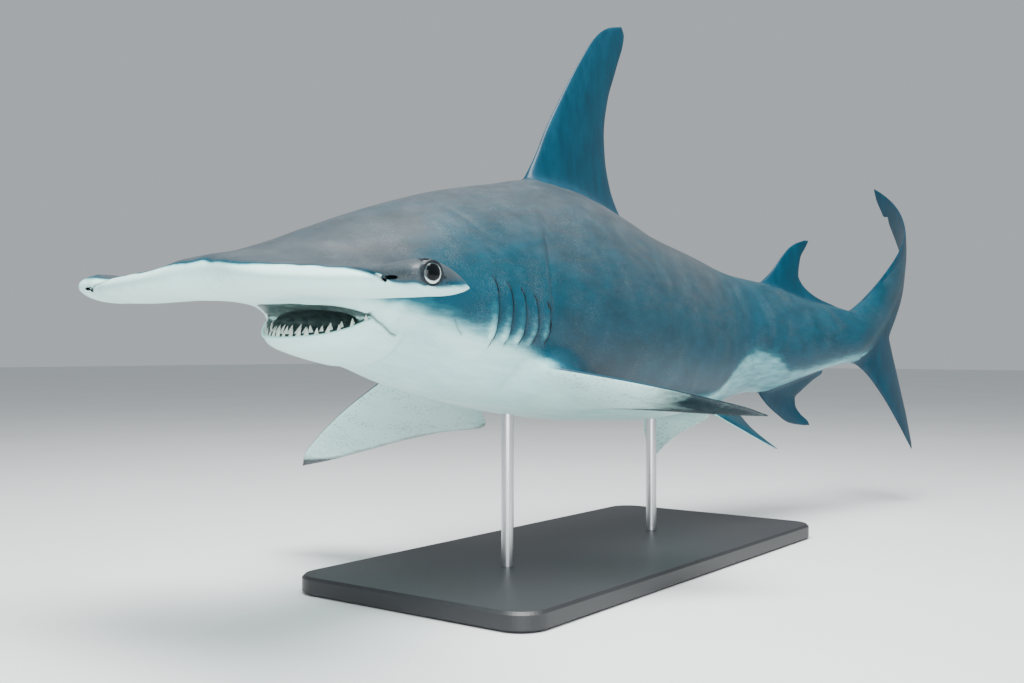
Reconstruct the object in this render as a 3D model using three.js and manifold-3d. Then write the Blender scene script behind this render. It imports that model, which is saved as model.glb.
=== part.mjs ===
// A great hammerhead shark, 3.4 m long, as a still life-size museum model on a plain display stand.
// Lengths are millimetres. Every form is first shaped on a straight shark and is then bent along its
// backbone into the swimming curve. On the straight shark a point has three numbers: s, the distance
// behind the snout, y, to the shark's right, and z, up from the backbone line.
// In the finished part the head points to -X, the shark's left side to -Y, and +Z is up. The origin is
// the centre of the underside of the stand's base.
import * as THREE from "three";
import { mergeVertices } from "three/addons/utils/BufferGeometryUtils.js";
import Module from "manifold-3d";

const wasm = await Module();
wasm.setup();

const GAP = 0.3; // between touching nodes
const LENGTH = 3400; // snout to the tip of the tail

// Swimming pose.
const POSE = {
  height: 620, // backbone line above the floor, at the reference station
  station: 1190, // the station that stands over the origin
  noseUp: 2.5, // degrees
  roll: 0.67, // degrees, right side down
  // Heading of the backbone in degrees, by distance behind the snout. A rising heading swings the
  // tail to the shark's right.
  yaw: [[0, -1.2], [340, -1], [680, 0.3], [1020, 0.7], [1190, 0], [1360, -1.3], [1700, -7.1],
    [2040, -16.5], [2380, -18.3], [2720, -2.3], [3060, 26.9], [LENGTH, 51.8]],
  rise: [[0, 0.7], [680, 0.4], [1360, -0.2], [1700, 0], [2040, 1], [2380, 2.2], [2720, 3],
    [LENGTH, 2.8]],
};

// Body outline, by distance behind the snout: height of the back, of the belly, and half the width.
const BODY = {
  back: [[30, 24], [70, 40], [120, 55], [170, 68], [240, 97], [340, 136], [475, 182], [600, 219],
    [768, 258], [910, 287], [1050, 285], [1230, 260], [1364, 233], [1608, 202], [1836, 164],
    [2031, 148], [2215, 110], [2404, 88], [2452, 81], [2520, 112], [2620, 172], [2750, 240],
    [2900, 318], [3050, 398]],
  belly: [[30, -26], [70, -40], [120, -47], [170, -51], [240, -56], [254, -64], [276, -132],
    [310, -150], [380, -164], [494, -194], [654, -223], [873, -253], [1081, -266], [1362, -268],
    [1500, -261],
    [1736, -226], [1921, -187], [2022, -180], [2150, -148], [2306, -110], [2404, -94],
    [2456, -84], [2520, -62], [2620, 10], [2750, 106], [2900, 212], [3050, 320]],
  half: [[30, 60], [70, 90], [120, 108], [170, 117], [235, 132], [300, 150], [400, 172],
    [480, 184], [560, 193], [680, 206], [800, 212], [1050, 214], [1230, 206], [1400, 191],
    [1608, 168], [1836, 134],
    [2031, 106], [2150, 91], [2300, 71], [2404, 56], [2460, 49], [2520, 39], [2620, 27],
    [2750, 17], [2900, 10], [3050, 6]],
  stations: [30, 50, 80, 120, 170, 220, 244, 254, 264, 276, 300, 335, 370, 410, 450, 500, 550,
    600, 650, 700, 760, 820, 880, 940, 1010, 1090, 1170, 1250, 1330, 1410, 1490, 1570, 1650, 1730, 1810, 1890,
    1970, 2040, 2110, 2180, 2250, 2320, 2380, 2425, 2452, 2480, 2520, 2570, 2630, 2700, 2780,
    2870, 2960, 3050],
  around: 28,
  widest: 0.47, // share of the height, from the belly, where the section is widest
  cheek: [[150, 0], [235, 18], [274, 72], [325, 46], [400, 16], [480, 0]], // extra half width
  cheekFade: 3, // how fast the cheek fades upwards
  backPower: [[200, 1.95], [274, 1.75], [340, 1.75], [480, 1.9], [560, 1.95]], // squareness of
  // the section above its widest line, by station
  bellyPower: [[250, 1.55], [300, 1.6], [420, 2], [520, 2.35]], // and below it
};

// Hammer-shaped head, seen from above: front and rear edges by distance from the middle.
const HAMMER = {
  reach: 450,
  front: [[0, 14], [60, 3], [130, 0], [210, 5], [285, 17], [330, 28], [358, 39], [380, 40],
    [404, 46]],
  rear: [[0, 265], [60, 262], [110, 255], [150, 240], [195, 220], [250, 206], [300, 200],
    [404, 200]],
  middle: [[0, 3], [60, -4], [120, -12], [170, -17], [225, -20], [300, -23], [350, -22], [404, -17]],
  halfThickness: [[0, 48], [60, 43], [120, 34], [170, 28], [225, 27], [300, 25], [350, 24],
    [390, 26], [425, 28]],
  rearDroop: 13, // how far the rear edge hangs at the tips
  tipFrom: 404, // the rounded tip starts here
  tipMiddle: 112, // and ends at this distance behind the snout
  frontSquareness: 5, // of the tip seen from above, at its front corner
  rearSquareness: 2.3,
  tipBlunt: 2.4, // seen from the front
  crowding: 0.9, // rows stand closer towards the tips
};

const EYE = { radius: 24, s: 88, out: 428, z: -15, lid: 4.5, lidInset: 3, lidLift: 10 };
const NOSTRIL = { s: 46, out: 386, z: -22, width: 28, height: 5.5, depth: 20, pitch: 0.35, toe: 0.3 };

// Mouth, a U seen from below: the fronts of its two lips, its corners, and each lip's height along it.
const MOUTH = {
  upperFront: 150,
  lowerFront: 184,
  corner: 268,
  halfWidth: 143,
  upperLip: [[0, -51], [0.5, -53], [0.8, -55], [0.9, -58], [1, -65]],
  lowerLip: [[0, -107], [0.2, -106], [0.35, -104], [0.5, -101], [0.6, -98], [0.7, -93], [0.8, -87],
    [0.9, -78], [1, -67]],
  lipRadius: 6,
  lowerLipRadius: 4.8,
  jawPower: 2.3, // squareness of the jaw's section
  chin: [[184, -112], [192, -122], [208, -130], [240, -138], [290, -149], [345, -159]],
  chinReach: 30, // the jaw reaches its full depth this far behind its front
  floorDrop: 16,
  end: 345, // the jaw's form runs on inside the throat to here
  widening: 0.3, // of the jaw behind the corner, for each millimetre
  rising: 0.4,
  split: 292,
  pad: { ahead: 4, behind: 12, rim: 4, flare: 20, arch: 12, top: -6 }, // the upper jaw's form
  hollow: { s: 262, z: -76, length: 64, width: 112, height: 22 }, // the throat's opening
};

const TEETH = { count: 23, height: 13, width: 9, span: 0.86, inset: 9, sunk: 8, alternate: 0.86,
  shrink: 0.45, lean: 3 };

// Five gill slits a side. Each flap is a raised plate with its free rear edge along the slit.
const GILLS = { count: 5, first: 548, pitch: 39, top: 30, topDrop: 10, bottom: -108, bottomRise: 3,
  length: 34, lift: 6, bow: 9, rake: 10, sunk: 16, rootDepth: 3 };

// Upright fins: front and rear edges by height, then the greatest half thickness from root to tip.
const FIRST_DORSAL = {
  bottom: 205,
  top: 757,
  front: [[205, 862], [240, 872], [286, 898], [363, 945], [421, 976], [510, 1034], [619, 1112],
    [704, 1186], [742, 1245], [757, 1296]],
  rear: [[205, 1300], [222, 1335], [236, 1364], [252, 1338], [270, 1316], [330, 1271],
    [403, 1243], [473, 1234], [554, 1247], [641, 1281], [739, 1314], [757, 1302]],
  half: [[205, 30], [290, 21], [500, 12], [757, 3]],
};
const SECOND_DORSAL = {
  bottom: 66,
  top: 297,
  front: [[66, 1960], [120, 1996], [154, 2031], [187, 2073], [234, 2119], [271, 2163], [290, 2205],
    [297, 2238]],
  rear: [[66, 2340], [80, 2384], [88, 2404], [98, 2366], [120, 2288], [158, 2221], [185, 2203],
    [240, 2212], [280, 2240], [297, 2251]],
  half: [[66, 16], [154, 10], [297, 2]],
};
const ANAL = {
  bottom: -288,
  top: -90,
  front: [[-288, 2252], [-283, 2180], [-254, 2116], [-223, 2066], [-183, 2022], [-150, 1990],
    [-90, 1950]],
  rear: [[-288, 2262], [-275, 2254], [-252, 2219], [-223, 2194], [-201, 2192], [-180, 2220],
    [-148, 2272], [-116, 2326], [-104, 2310], [-90, 2260]],
  half: [[-288, 2], [-180, 10], [-90, 16]],
};

// Paired fins. Across them, out is the distance from the root and the edges are distances behind the
// root's front. The angles in degrees set each one as it is held in the pose.
const PECTORAL = {
  reach: 512,
  sunk: 70,
  front: [[-70, 0], [0, 0], [120, 22], [255, 60], [380, 108], [460, 146], [512, 188]],
  rear: [[-70, 250], [0, 300], [22, 345], [44, 357], [70, 344], [130, 305], [200, 278], [255, 262],
    [340, 242], [430, 220], [512, 190]],
  half: [[-70, 34], [0, 24], [80, 17], [255, 10], [512, 2]],
  left: { root: [702, -190, -143], sweep: 34.5, dihedral: 4.7, attack: 15 },
  right: { root: [696, 190, -164], sweep: -2, dihedral: -22.5, attack: 19.3 },
};
const PELVIC = {
  reach: 212,
  sunk: 60,
  front: [[-60, -6], [0, 0], [80, 42], [150, 92], [190, 126], [212, 152]],
  rear: [[-60, 190], [0, 216], [24, 246], [42, 254], [62, 236], [110, 192], [160, 168], [212, 156]],
  half: [[-60, 18], [0, 12], [100, 7], [212, 2]],
  left: { root: [1645, -82, -226], sweep: 15.5, dihedral: -30, attack: 10 },
  right: { root: [1643, 108, -222], sweep: 6.6, dihedral: -47, attack: 11 },
};

// Tail fin. The upper lobe's edges go by distance behind the snout, the lower lobe's by height.
const CAUDAL = {
  start: 2460,
  split: [[2400, -40], [2460, -34], [2600, -14], [2716, -6], [2760, -4]],
  upperFront: [[2400, 70], [2482, 84], [2526, 119], [2592, 165], [2631, 191], [2690, 226],
    [2850, 314], [3000, 392], [3200, 496], [3330, 556], [LENGTH, 585]],
  upperRear: [[2400, -40], [2460, -34], [2600, -14], [2690, -10], [2722, 4], [2780, 60],
    [2900, 152], [3100, 302], [3225, 402], [3262, 440], [3275, 462], [3300, 462], [3340, 496],
    [3375, 536], [LENGTH, 582]],
  upperHalf: [[2400, 22], [2700, 11], [3100, 6], [LENGTH, 2]],
  lowerFront: [[-390, 2796], [-360, 2766], [-300, 2712], [-200, 2620], [-120, 2530], [-88, 2462],
    [-60, 2420], [-6, 2400]],
  lowerRear: [[-390, 2800], [-370, 2811], [-300, 2814], [-200, 2790], [-120, 2762], [-60, 2740],
    [-6, 2714]],
  lowerHalf: [[-390, 2], [-200, 7], [-60, 13], [-6, 18]],
  lowerLean: 55, // the lower tip trails to the shark's left of the bend
};

// Display stand.
const BASE = { length: 1400, width: 640, height: 40, corner: 60, bevel: 6 };
const RODS = { radius: 14, front: 850, rear: 1500 };

// A smooth curve through [x, value] knots.
function curve(knots, x) {
  const last = knots.length - 1;
  if (x <= knots[0][0]) return knots[0][1];
  if (x >= knots[last][0]) return knots[last][1];
  let i = 0;
  while (x > knots[i + 1][0]) i += 1;
  const slope = (k) => (knots[k + 1][1] - knots[k][1]) / (knots[k + 1][0] - knots[k][0]);
  const tangent = (k) => {
    if (k === 0) return slope(0);
    if (k === last) return slope(last - 1);
    const before = slope(k - 1);
    const after = slope(k);
    return before * after <= 0 ? 0 : (2 * before * after) / (before + after);
  };
  const width = knots[i + 1][0] - knots[i][0];
  const t = (x - knots[i][0]) / width;
  const t2 = t * t;
  const t3 = t2 * t;
  return (2 * t3 - 3 * t2 + 1) * knots[i][1] + (t3 - 2 * t2 + t) * width * tangent(i)
    + (3 * t2 - 2 * t3) * knots[i + 1][1] + (t3 - t2) * width * tangent(i + 1);
}

const radians = THREE.MathUtils.degToRad;

// The backbone: heading at each step along it, and the points that it passes through.
const STEP = 10;
const backbone = (() => {
  const points = [new THREE.Vector3()];
  const heading = (s) => {
    const at = THREE.MathUtils.clamp(s, 0, LENGTH);
    const yaw = radians(curve(POSE.yaw, at));
    const rise = radians(curve(POSE.rise, at));
    return { yaw, rise };
  };
  const direction = ({ yaw, rise }) => new THREE.Vector3(
    Math.cos(yaw) * Math.cos(rise), Math.sin(yaw) * Math.cos(rise), Math.sin(rise));
  for (let s = 0; s < LENGTH + 200; s += STEP) {
    const ahead = direction(heading(s + STEP / 2)).multiplyScalar(STEP);
    points.push(points.at(-1).clone().add(ahead));
  }
  const at = (s) => {
    const whole = THREE.MathUtils.clamp(Math.floor(s / STEP), 0, points.length - 2);
    return points[whole].clone().lerp(points[whole + 1], s / STEP - whole);
  };
  const origin = at(POSE.station);
  return { at: (s) => at(s).sub(origin), heading, direction };
})();

// A point of the straight shark, carried into the curve.
function bend(s, y, z) {
  const heading = backbone.heading(s);
  const back = backbone.direction(heading);
  const right = new THREE.Vector3(-Math.sin(heading.yaw), Math.cos(heading.yaw), 0);
  const up = new THREE.Vector3().crossVectors(back, right);
  return backbone.at(s).addScaledVector(right, y).addScaledVector(up, z);
}

// Closed geometry from points and triangles, with triangles that a pole has shrunk to a line left out.
function closedGeometry(points, triangles) {
  const geometry = new THREE.BufferGeometry();
  const flat = points.flatMap((p) => [p.x, p.y, p.z]);
  geometry.setAttribute("position", new THREE.Float32BufferAttribute(flat, 3));
  geometry.setIndex(triangles.flat());
  return geometry;
}

// A closed tube through rings of points, its ends closed round their centres.
function tube(rings) {
  const count = rings[0].length;
  const points = rings.flat();
  const triangles = [];
  for (let i = 0; i + 1 < rings.length; i += 1) {
    for (let j = 0; j < count; j += 1) {
      const a = i * count + j;
      const b = i * count + ((j + 1) % count);
      triangles.push([a, a + count, b], [b, a + count, b + count]);
    }
  }
  const close = (ring, start, first) => {
    const centre = ring.reduce((sum, p) => sum.add(p), new THREE.Vector3()).divideScalar(count);
    const hub = points.push(centre) - 1;
    for (let j = 0; j < count; j += 1) {
      const a = start + j;
      const b = start + ((j + 1) % count);
      triangles.push(first ? [hub, a, b] : [hub, b, a]);
    }
  };
  const lastStart = points.length - count;
  close(rings[0], 0, true);
  close(rings.at(-1), lastStart, false);
  return closedGeometry(points, triangles);
}

// A closed plate with two faces split into triangles alike. point(u, v, side) gives the face's point,
// u along it and v from its front edge to its rear edge, on side 1 or -1.
function plate(along, across, point) {
  const points = [];
  const id = (i, j, k) => ((i * (across + 1)) + j) * 2 + k;
  for (let i = 0; i <= along; i += 1) {
    for (let j = 0; j <= across; j += 1) {
      points.push(point(i / along, j / across, 1), point(i / along, j / across, -1));
    }
  }
  const triangles = [];
  const quad = (a, b, c, d) => triangles.push([a, b, c], [a, c, d]);
  for (let i = 0; i < along; i += 1) {
    for (let j = 0; j < across; j += 1) {
      const [a, b, c, d] = [[i, j], [i + 1, j], [i + 1, j + 1], [i, j + 1]];
      triangles.push([id(...a, 0), id(...b, 0), id(...c, 0)], [id(...a, 0), id(...c, 0), id(...d, 0)]);
      triangles.push([id(...a, 1), id(...c, 1), id(...b, 1)], [id(...a, 1), id(...d, 1), id(...c, 1)]);
    }
    quad(id(i, 0, 0), id(i, 0, 1), id(i + 1, 0, 1), id(i + 1, 0, 0));
    quad(id(i, across, 0), id(i + 1, across, 0), id(i + 1, across, 1), id(i, across, 1));
  }
  for (let j = 0; j < across; j += 1) {
    quad(id(0, j, 0), id(0, j + 1, 0), id(0, j + 1, 1), id(0, j, 1));
    quad(id(along, j, 0), id(along, j, 1), id(along, j + 1, 1), id(along, j + 1, 0));
  }
  return closedGeometry(points, triangles);
}

// A solid from a closed geometry, its faces turned outwards.
function solid(geometry) {
  const bare = new THREE.BufferGeometry();
  bare.setAttribute("position", geometry.getAttribute("position").clone());
  bare.setIndex(geometry.index ? geometry.index.clone() : null);
  const merged = mergeVertices(bare, 1e-3);
  const kept = [];
  const index = merged.index.array;
  for (let i = 0; i < index.length; i += 3) {
    const [a, b, c] = index.slice(i, i + 3);
    if (a !== b && b !== c && c !== a) kept.push(a, b, c);
  }
  const vertProperties = merged.getAttribute("position").array;
  const make = (triVerts) => new wasm.Manifold(new wasm.Mesh({ numProp: 3, vertProperties, triVerts }));
  const made = make(new Uint32Array(kept));
  return made.volume() > 0 ? made : make(new Uint32Array(kept.reverse()));
}

const union = (first, ...others) => others.reduce((sum, other) => sum.add(other), first);
const cutAway = (first, ...others) => others.reduce((rest, other) => rest.subtract(other), first);

// The largest closed surface of a solid.
function largest(made) {
  return made.decompose().reduce((best, piece) => (piece.volume() > best.volume() ? piece : best));
}

function geometryOf(made) {
  const mesh = made.getMesh();
  const geometry = new THREE.BufferGeometry();
  const positions = new Float32Array(mesh.vertProperties);
  geometry.setAttribute("position", new THREE.BufferAttribute(positions, 3));
  geometry.setIndex(new THREE.BufferAttribute(new Uint32Array(mesh.triVerts), 1));
  geometry.computeVertexNormals();
  return geometry;
}

const power = (value, exponent) => Math.sign(value) * Math.abs(value) ** exponent;

// Body section: widest at a line a little below the middle, rounder above it and fuller below.
function section(s, grow = 0) {
  const back = curve(BODY.back, s) + grow;
  const belly = curve(BODY.belly, s) - grow;
  const middle = belly + (back - belly) * BODY.widest;
  const half = curve(BODY.half, s) + grow;
  return { back, belly, middle, half, above: curve(BODY.backPower, s), below: curve(BODY.bellyPower, s) };
}

function bodyPoint(s, angle, grow = 0) {
  const { back, belly, middle, half, above, below } = section(s, grow);
  const up = Math.sin(angle) > 0;
  const exponent = 2 / (up ? above : below);
  const cheek = curve(BODY.cheek, s) * (1 - Math.max(0, Math.sin(angle))) ** BODY.cheekFade;
  const y = (half + cheek) * power(Math.cos(angle), exponent);
  const z = middle + (up ? back - middle : middle - belly) * power(Math.sin(angle), exponent);
  return [s, y, z];
}

// Half the body's width at a height.
function bodyWidth(s, z) {
  const { back, belly, middle, half, above, below } = section(s);
  const share = z > middle ? (z - middle) / (back - middle) : (middle - z) / (middle - belly);
  const exponent = z > middle ? above : below;
  return half * Math.max(0, 1 - Math.min(share, 1) ** exponent) ** (1 / exponent);
}

function body(grow = 0) {
  const rings = BODY.stations.map((s) => Array.from({ length: BODY.around }, (_, j) => {
    const angle = (-2 * Math.PI * j) / BODY.around;
    return bend(...bodyPoint(s, angle, grow));
  }));
  return solid(tube(rings));
}

// Thickness across a fin: quick to fill behind the front edge, then thinning.
const foil = (v) => Math.sqrt(4 * v * (1 - v)) * (1.22 - 0.52 * v);

// Thickness across the hammer, which ends in a sharper rear edge.
const wing = (v) => 2.38 * Math.sqrt(v) * (1 - v) ** 0.8;

// Distances along a chord, closer together near both of its edges.
const chordShare = (v) => (1 - Math.cos(v * Math.PI)) / 2;

function hammer() {
  const { reach, tipFrom, tipMiddle, rearDroop, crowding } = HAMMER;
  const closing = (share, exponent) => (1 - share ** exponent) ** (1 / exponent);
  const point = (u, v, side) => {
    const y = reach * power(Math.sin((u - 0.5) * Math.PI), crowding);
    const out = Math.abs(y);
    const inside = Math.min(out, tipFrom);
    const share = Math.min(Math.max(0, (out - tipFrom) / (reach - tipFrom)), 1);
    const edge = (knots, squareness) => tipMiddle
      + (curve(knots, inside) - tipMiddle) * closing(share, squareness);
    const across = chordShare(v);
    const half = curve(HAMMER.halfThickness, out) * wing(across) * closing(share, HAMMER.tipBlunt);
    const front = edge(HAMMER.front, HAMMER.frontSquareness);
    const rear = edge(HAMMER.rear, HAMMER.rearSquareness);
    const droop = rearDroop * (across * out / reach) ** 2;
    return bend(front + (rear - front) * across, y, curve(HAMMER.middle, inside) - droop + side * half);
  };
  return solid(plate(32, 11, point));
}

// A lip's path: q runs from -1 at the left corner through 0 at the front to 1 at the right corner.
const mouthStation = (front, q) => front + (MOUTH.corner - front) * q * q;

function lowerJaw() {
  const { lowerFront, corner, halfWidth, end, floorDrop, jawPower, chinReach } = MOUTH;
  const stations = [0, 3, 9, 19, 33, 51, 71, corner - lowerFront, 110, 128, end - lowerFront];
  const ringCount = 20;
  const rimDepth = 4;
  const rings = stations.map((behindFront) => {
    const s = lowerFront + behindFront;
    const behind = Math.max(0, s - corner);
    const q = Math.min(Math.sqrt(behindFront / (corner - lowerFront)), 1);
    const half = Math.max(halfWidth * q, 3) + behind * MOUTH.widening;
    const lip = curve(MOUTH.lowerLip, q) + behind * MOUTH.rising;
    const reach = Math.min(1, behindFront / chinReach);
    const bottom = THREE.MathUtils.lerp(lip - rimDepth, curve(MOUTH.chin, s), Math.sqrt(reach));
    return Array.from({ length: ringCount }, (_, j) => {
      const angle = (-2 * Math.PI * j) / ringCount;
      const y = half * power(Math.cos(angle), 2 / jawPower);
      const inner = Math.max(0, 1 - (Math.abs(y) / half) ** 4);
      const z = Math.sin(angle) > 0
        ? lip - Math.min(floorDrop, (lip - bottom) * 0.4) * inner
        : lip + (lip - bottom) * power(Math.sin(angle), 2 / jawPower);
      return bend(s, y, z);
    });
  });
  return solid(tube(rings));
}

// A round bead along one lip, thinner towards the corners.
function lipBead(front, heights, radius, lift) {
  const steps = 18;
  const around = 6;
  const rings = Array.from({ length: steps + 1 }, (_, i) => {
    const q = -1 + (2 * i) / steps;
    const along = new THREE.Vector2(2 * (MOUTH.corner - front) * q, MOUTH.halfWidth).normalize();
    const size = radius * Math.sqrt(Math.max(0.12, 1 - Math.abs(q) ** 3));
    return Array.from({ length: around }, (_, j) => {
      const angle = (2 * Math.PI * j) / around;
      const sideways = size * Math.cos(angle);
      return bend(mouthStation(front, q) + along.y * sideways,
        MOUTH.halfWidth * q - along.x * sideways,
        curve(heights, Math.abs(q)) + lift + size * Math.sin(angle));
    });
  });
  return solid(tube(rings));
}

// The upper jaw under the hammer, widening along the mouth's U, its underside arched.
function upperJaw(grow = 0) {
  const { upperFront, corner, halfWidth, pad } = MOUTH;
  const start = upperFront - pad.ahead;
  const length = corner - start;
  const underSteps = 9;
  const rings = [0, 3, 10, 22, 40, 62, 88, length, length + pad.behind].map((back) => {
    const q = Math.min(1, Math.sqrt(back / length));
    const half = Math.max(halfWidth * q, 4) + pad.rim + grow;
    const lip = curve(MOUTH.upperLip, q) - grow;
    const under = Array.from({ length: underSteps + 1 }, (_, j) => {
      const share = Math.cos((Math.PI * j) / underSteps);
      return bend(start + back, half * share, lip + pad.arch * (1 - share * share));
    });
    const over = [-1, -0.4, 0.4, 1].map((share) => bend(start + back, (half + pad.flare) * share,
      pad.top));
    return [...under, ...over];
  });
  return solid(tube(rings));
}

const upperBead = (grow = 0) => lipBead(MOUTH.upperFront, MOUTH.upperLip, MOUTH.lipRadius + grow, 1);
const lowerBead = () => lipBead(MOUTH.lowerFront, MOUTH.lowerLip, MOUTH.lowerLipRadius, -4);

// Lower teeth: narrow triangles, lower and leaning back towards the corners.
function teeth() {
  const { count, height, width, span, inset, sunk, alternate, shrink, lean } = TEETH;
  return Array.from({ length: count }, (_, i) => {
    const q = span * (-1 + (2 * i) / (count - 1));
    const size = (1 - shrink * q * q) * (i % 2 ? alternate : 1);
    const along = new THREE.Vector2(2 * (MOUTH.corner - MOUTH.lowerFront) * q, MOUTH.halfWidth)
      .normalize();
    const s = mouthStation(MOUTH.lowerFront, q) + along.y * inset;
    const y = MOUTH.halfWidth * q - along.x * inset;
    const z = curve(MOUTH.lowerLip, Math.abs(q)) - sunk;
    const foot = [[-0.5, 0], [0, -0.4], [0.5, 0], [0, 0.4]].map(([alongLip, into]) => bend(
      s + (along.x * alongLip + along.y * into) * width,
      y + (along.y * alongLip - along.x * into) * width, z));
    const tip = bend(s + lean * (1 + Math.abs(q)), y, z + 6 + height * size);
    return solid(closedGeometry([...foot, tip],
      [[0, 1, 4], [1, 2, 4], [2, 3, 4], [3, 0, 4], [0, 2, 1], [0, 3, 2]]));
  });
}

// One gill flap, its front sunk in the skin and its rear edge standing off it along the slit.
function gillFlap(index, side, grow = 0) {
  const { first, pitch, top, topDrop, bottom, bottomRise, length, lift, bow, rake } = GILLS;
  const high = top - topDrop * index + grow;
  const low = bottom + bottomRise * index - grow;
  const point = (u, v, face) => {
    const z = low + (high - low) * u;
    const ends = Math.sin(Math.PI * u) ** 0.7;
    const edge = first + pitch * index + bow * Math.sin(Math.PI * u) + rake * (1 - u) + grow;
    const s = edge - length * (1 - v);
    const raised = (lift + grow + GILLS.rootDepth) * v ** 1.5 * ends - GILLS.rootDepth;
    const depth = face > 0 ? raised : -GILLS.sunk;
    return bend(s, side * (bodyWidth(s, z) + depth), z);
  };
  return solid(plate(8, 3, point));
}

const flaps = (grow = 0) => [-1, 1].flatMap((side) => Array.from({ length: GILLS.count },
  (_, index) => gillFlap(index, side, grow)));

// An upright fin on the middle line, its rows level from bottom to top.
function uprightFin({ bottom, top, front, rear, half }, along, across) {
  const point = (u, v, side) => {
    const z = bottom + (top - bottom) * u;
    const chord = chordShare(v);
    const start = curve(front, z);
    const end = curve(rear, z);
    const thickness = Math.max(curve(half, z) * foil(chord), v > 0 ? 1 : 0);
    return bend(start + (end - start) * chord, side * thickness, z);
  };
  return solid(plate(along, across, point));
}

// The directions of a paired fin: out along it, back across it, and up from it.
function finDirections({ sweep, dihedral, attack }, side) {
  const out = new THREE.Vector3(0, side, 0);
  const back = new THREE.Vector3(1, 0, 0);
  const up = new THREE.Vector3(0, 0, 1);
  const turn = (a, b, angle) => {
    const [c, n] = [Math.cos(radians(angle)), Math.sin(radians(angle))];
    const first = a.clone().multiplyScalar(c).addScaledVector(b, n);
    b.multiplyScalar(c).addScaledVector(a, -n);
    a.copy(first);
  };
  turn(out, up, dihedral);
  turn(back, up, -attack);
  turn(out, back, sweep);
  return { out, back, up };
}

function pairedFin(fin, held, side, along, across) {
  const { out, back, up } = finDirections(held, side);
  const root = new THREE.Vector3(...held.root);
  const point = (u, v, face) => {
    const reach = -fin.sunk + (fin.reach + fin.sunk) * (1 - (1 - u) ** 1.15);
    const chord = chordShare(v);
    const start = curve(fin.front, reach);
    const end = curve(fin.rear, reach);
    const thickness = Math.max(curve(fin.half, reach) * foil(chord), v > 0 ? 1 : 0);
    const at = root.clone()
      .addScaledVector(out, reach)
      .addScaledVector(back, start + (end - start) * chord)
      .addScaledVector(up, face * thickness);
    return bend(at.x, at.y, at.z);
  };
  return solid(plate(along, across, point));
}

function upperLobe() {
  const { start, upperFront, upperRear, upperHalf } = CAUDAL;
  const point = (u, v, side) => {
    const s = start - 40 + (LENGTH - start + 40) * u;
    const chord = chordShare(v);
    const high = curve(upperFront, s);
    const low = curve(upperRear, s) + GAP;
    const blunt = s < 2722 ? 0.55 * (1 - THREE.MathUtils.smoothstep(s, 2640, 2722)) : 0;
    const full = Math.max(foil(chord), v > 0.5 ? blunt : 0);
    const thickness = Math.max(curve(upperHalf, s) * full, v > 0 ? 1 : 0);
    return bend(s, side * thickness, high + (low - high) * chord);
  };
  return solid(plate(22, 8, point));
}

function lowerLobe() {
  const { split, lowerFront, lowerRear, lowerHalf, lowerLean } = CAUDAL;
  const tip = lowerFront[0][0];
  const point = (u, v, side) => {
    const level = tip + (-6 - tip) * u;
    const chord = chordShare(v);
    const s = curve(lowerFront, level) + (curve(lowerRear, level) - curve(lowerFront, level)) * chord;
    const roof = curve(split, s);
    const z = tip + ((roof - tip) * (level - tip)) / (-6 - tip);
    const lean = -lowerLean * (Math.max(0, -z) / -tip) ** 1.5;
    const thickness = Math.max(curve(lowerHalf, level) * foil(chord), v > 0 ? 1 : 0);
    return bend(s, lean + side * thickness, z);
  };
  return solid(plate(10, 9, point));
}

// Everything above or below the line where the two lobes part.
function sideOfSplit(direction) {
  const [from, to] = [CAUDAL.split[0][0], CAUDAL.split.at(-1)[0]];
  const depth = 500;
  const point = (u, v, face) => {
    const s = from + (to - from) * u;
    const near = curve(CAUDAL.split, s) - (direction * GAP) / 2;
    return bend(s, 100 - 200 * v, face > 0 ? near : near + direction * depth);
  };
  return solid(plate(16, 4, point));
}

// A block behind or ahead of a station, its face square to the backbone.
function block(s, ahead) {
  const size = 2 * LENGTH;
  const heading = backbone.heading(s);
  const box = new THREE.BoxGeometry(size, size, size);
  box.translate((ahead ? -size : size) / 2, 0, 0);
  box.rotateY(-heading.rise);
  box.rotateZ(heading.yaw);
  const at = backbone.at(s);
  box.translate(at.x, at.y, at.z);
  return solid(box);
}

const between = (made, from, to) => cutAway(made, ...(from ? [block(from + GAP / 2, true)] : []),
  ...(to ? [block(to - GAP / 2, false)] : []));

function ball(radius, s, y, z) {
  const sphere = new THREE.SphereGeometry(radius, 16, 11);
  const at = bend(s, y, z);
  sphere.translate(at.x, at.y, at.z);
  return solid(sphere);
}

// The round lid: a low ring on the hammer's end, round the eye.
function lid(side) {
  const ring = new THREE.TorusGeometry(EYE.radius - EYE.lidInset, EYE.lid, 6, 18);
  ring.rotateX(Math.PI / 2);
  const at = bend(EYE.s, side * (EYE.out + EYE.lidLift), EYE.z);
  ring.translate(at.x, at.y, at.z);
  return solid(ring);
}

// A rounded hollow, its half sizes along the backbone, across it and upwards.
function hollow(halfSizes, s, y, z, pitch = 0, toe = 0) {
  const form = new THREE.SphereGeometry(1, 16, 10);
  form.scale(...halfSizes);
  form.rotateY(pitch);
  form.rotateZ(toe);
  const at = bend(s, y, z);
  form.translate(at.x, at.y, at.z);
  return solid(form);
}

const nostril = (side) => hollow([NOSTRIL.depth, NOSTRIL.width / 2, NOSTRIL.height], NOSTRIL.s,
  side * NOSTRIL.out, NOSTRIL.z, NOSTRIL.pitch, side * NOSTRIL.toe);
const throatHollow = () => {
  const { s, z, length, width, height } = MOUTH.hollow;
  return hollow([length, width, height], s, 0, z);
};

const CUTS = { neck: 500, torso: 770, tail: 1930, caudal: CAUDAL.start };

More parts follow.
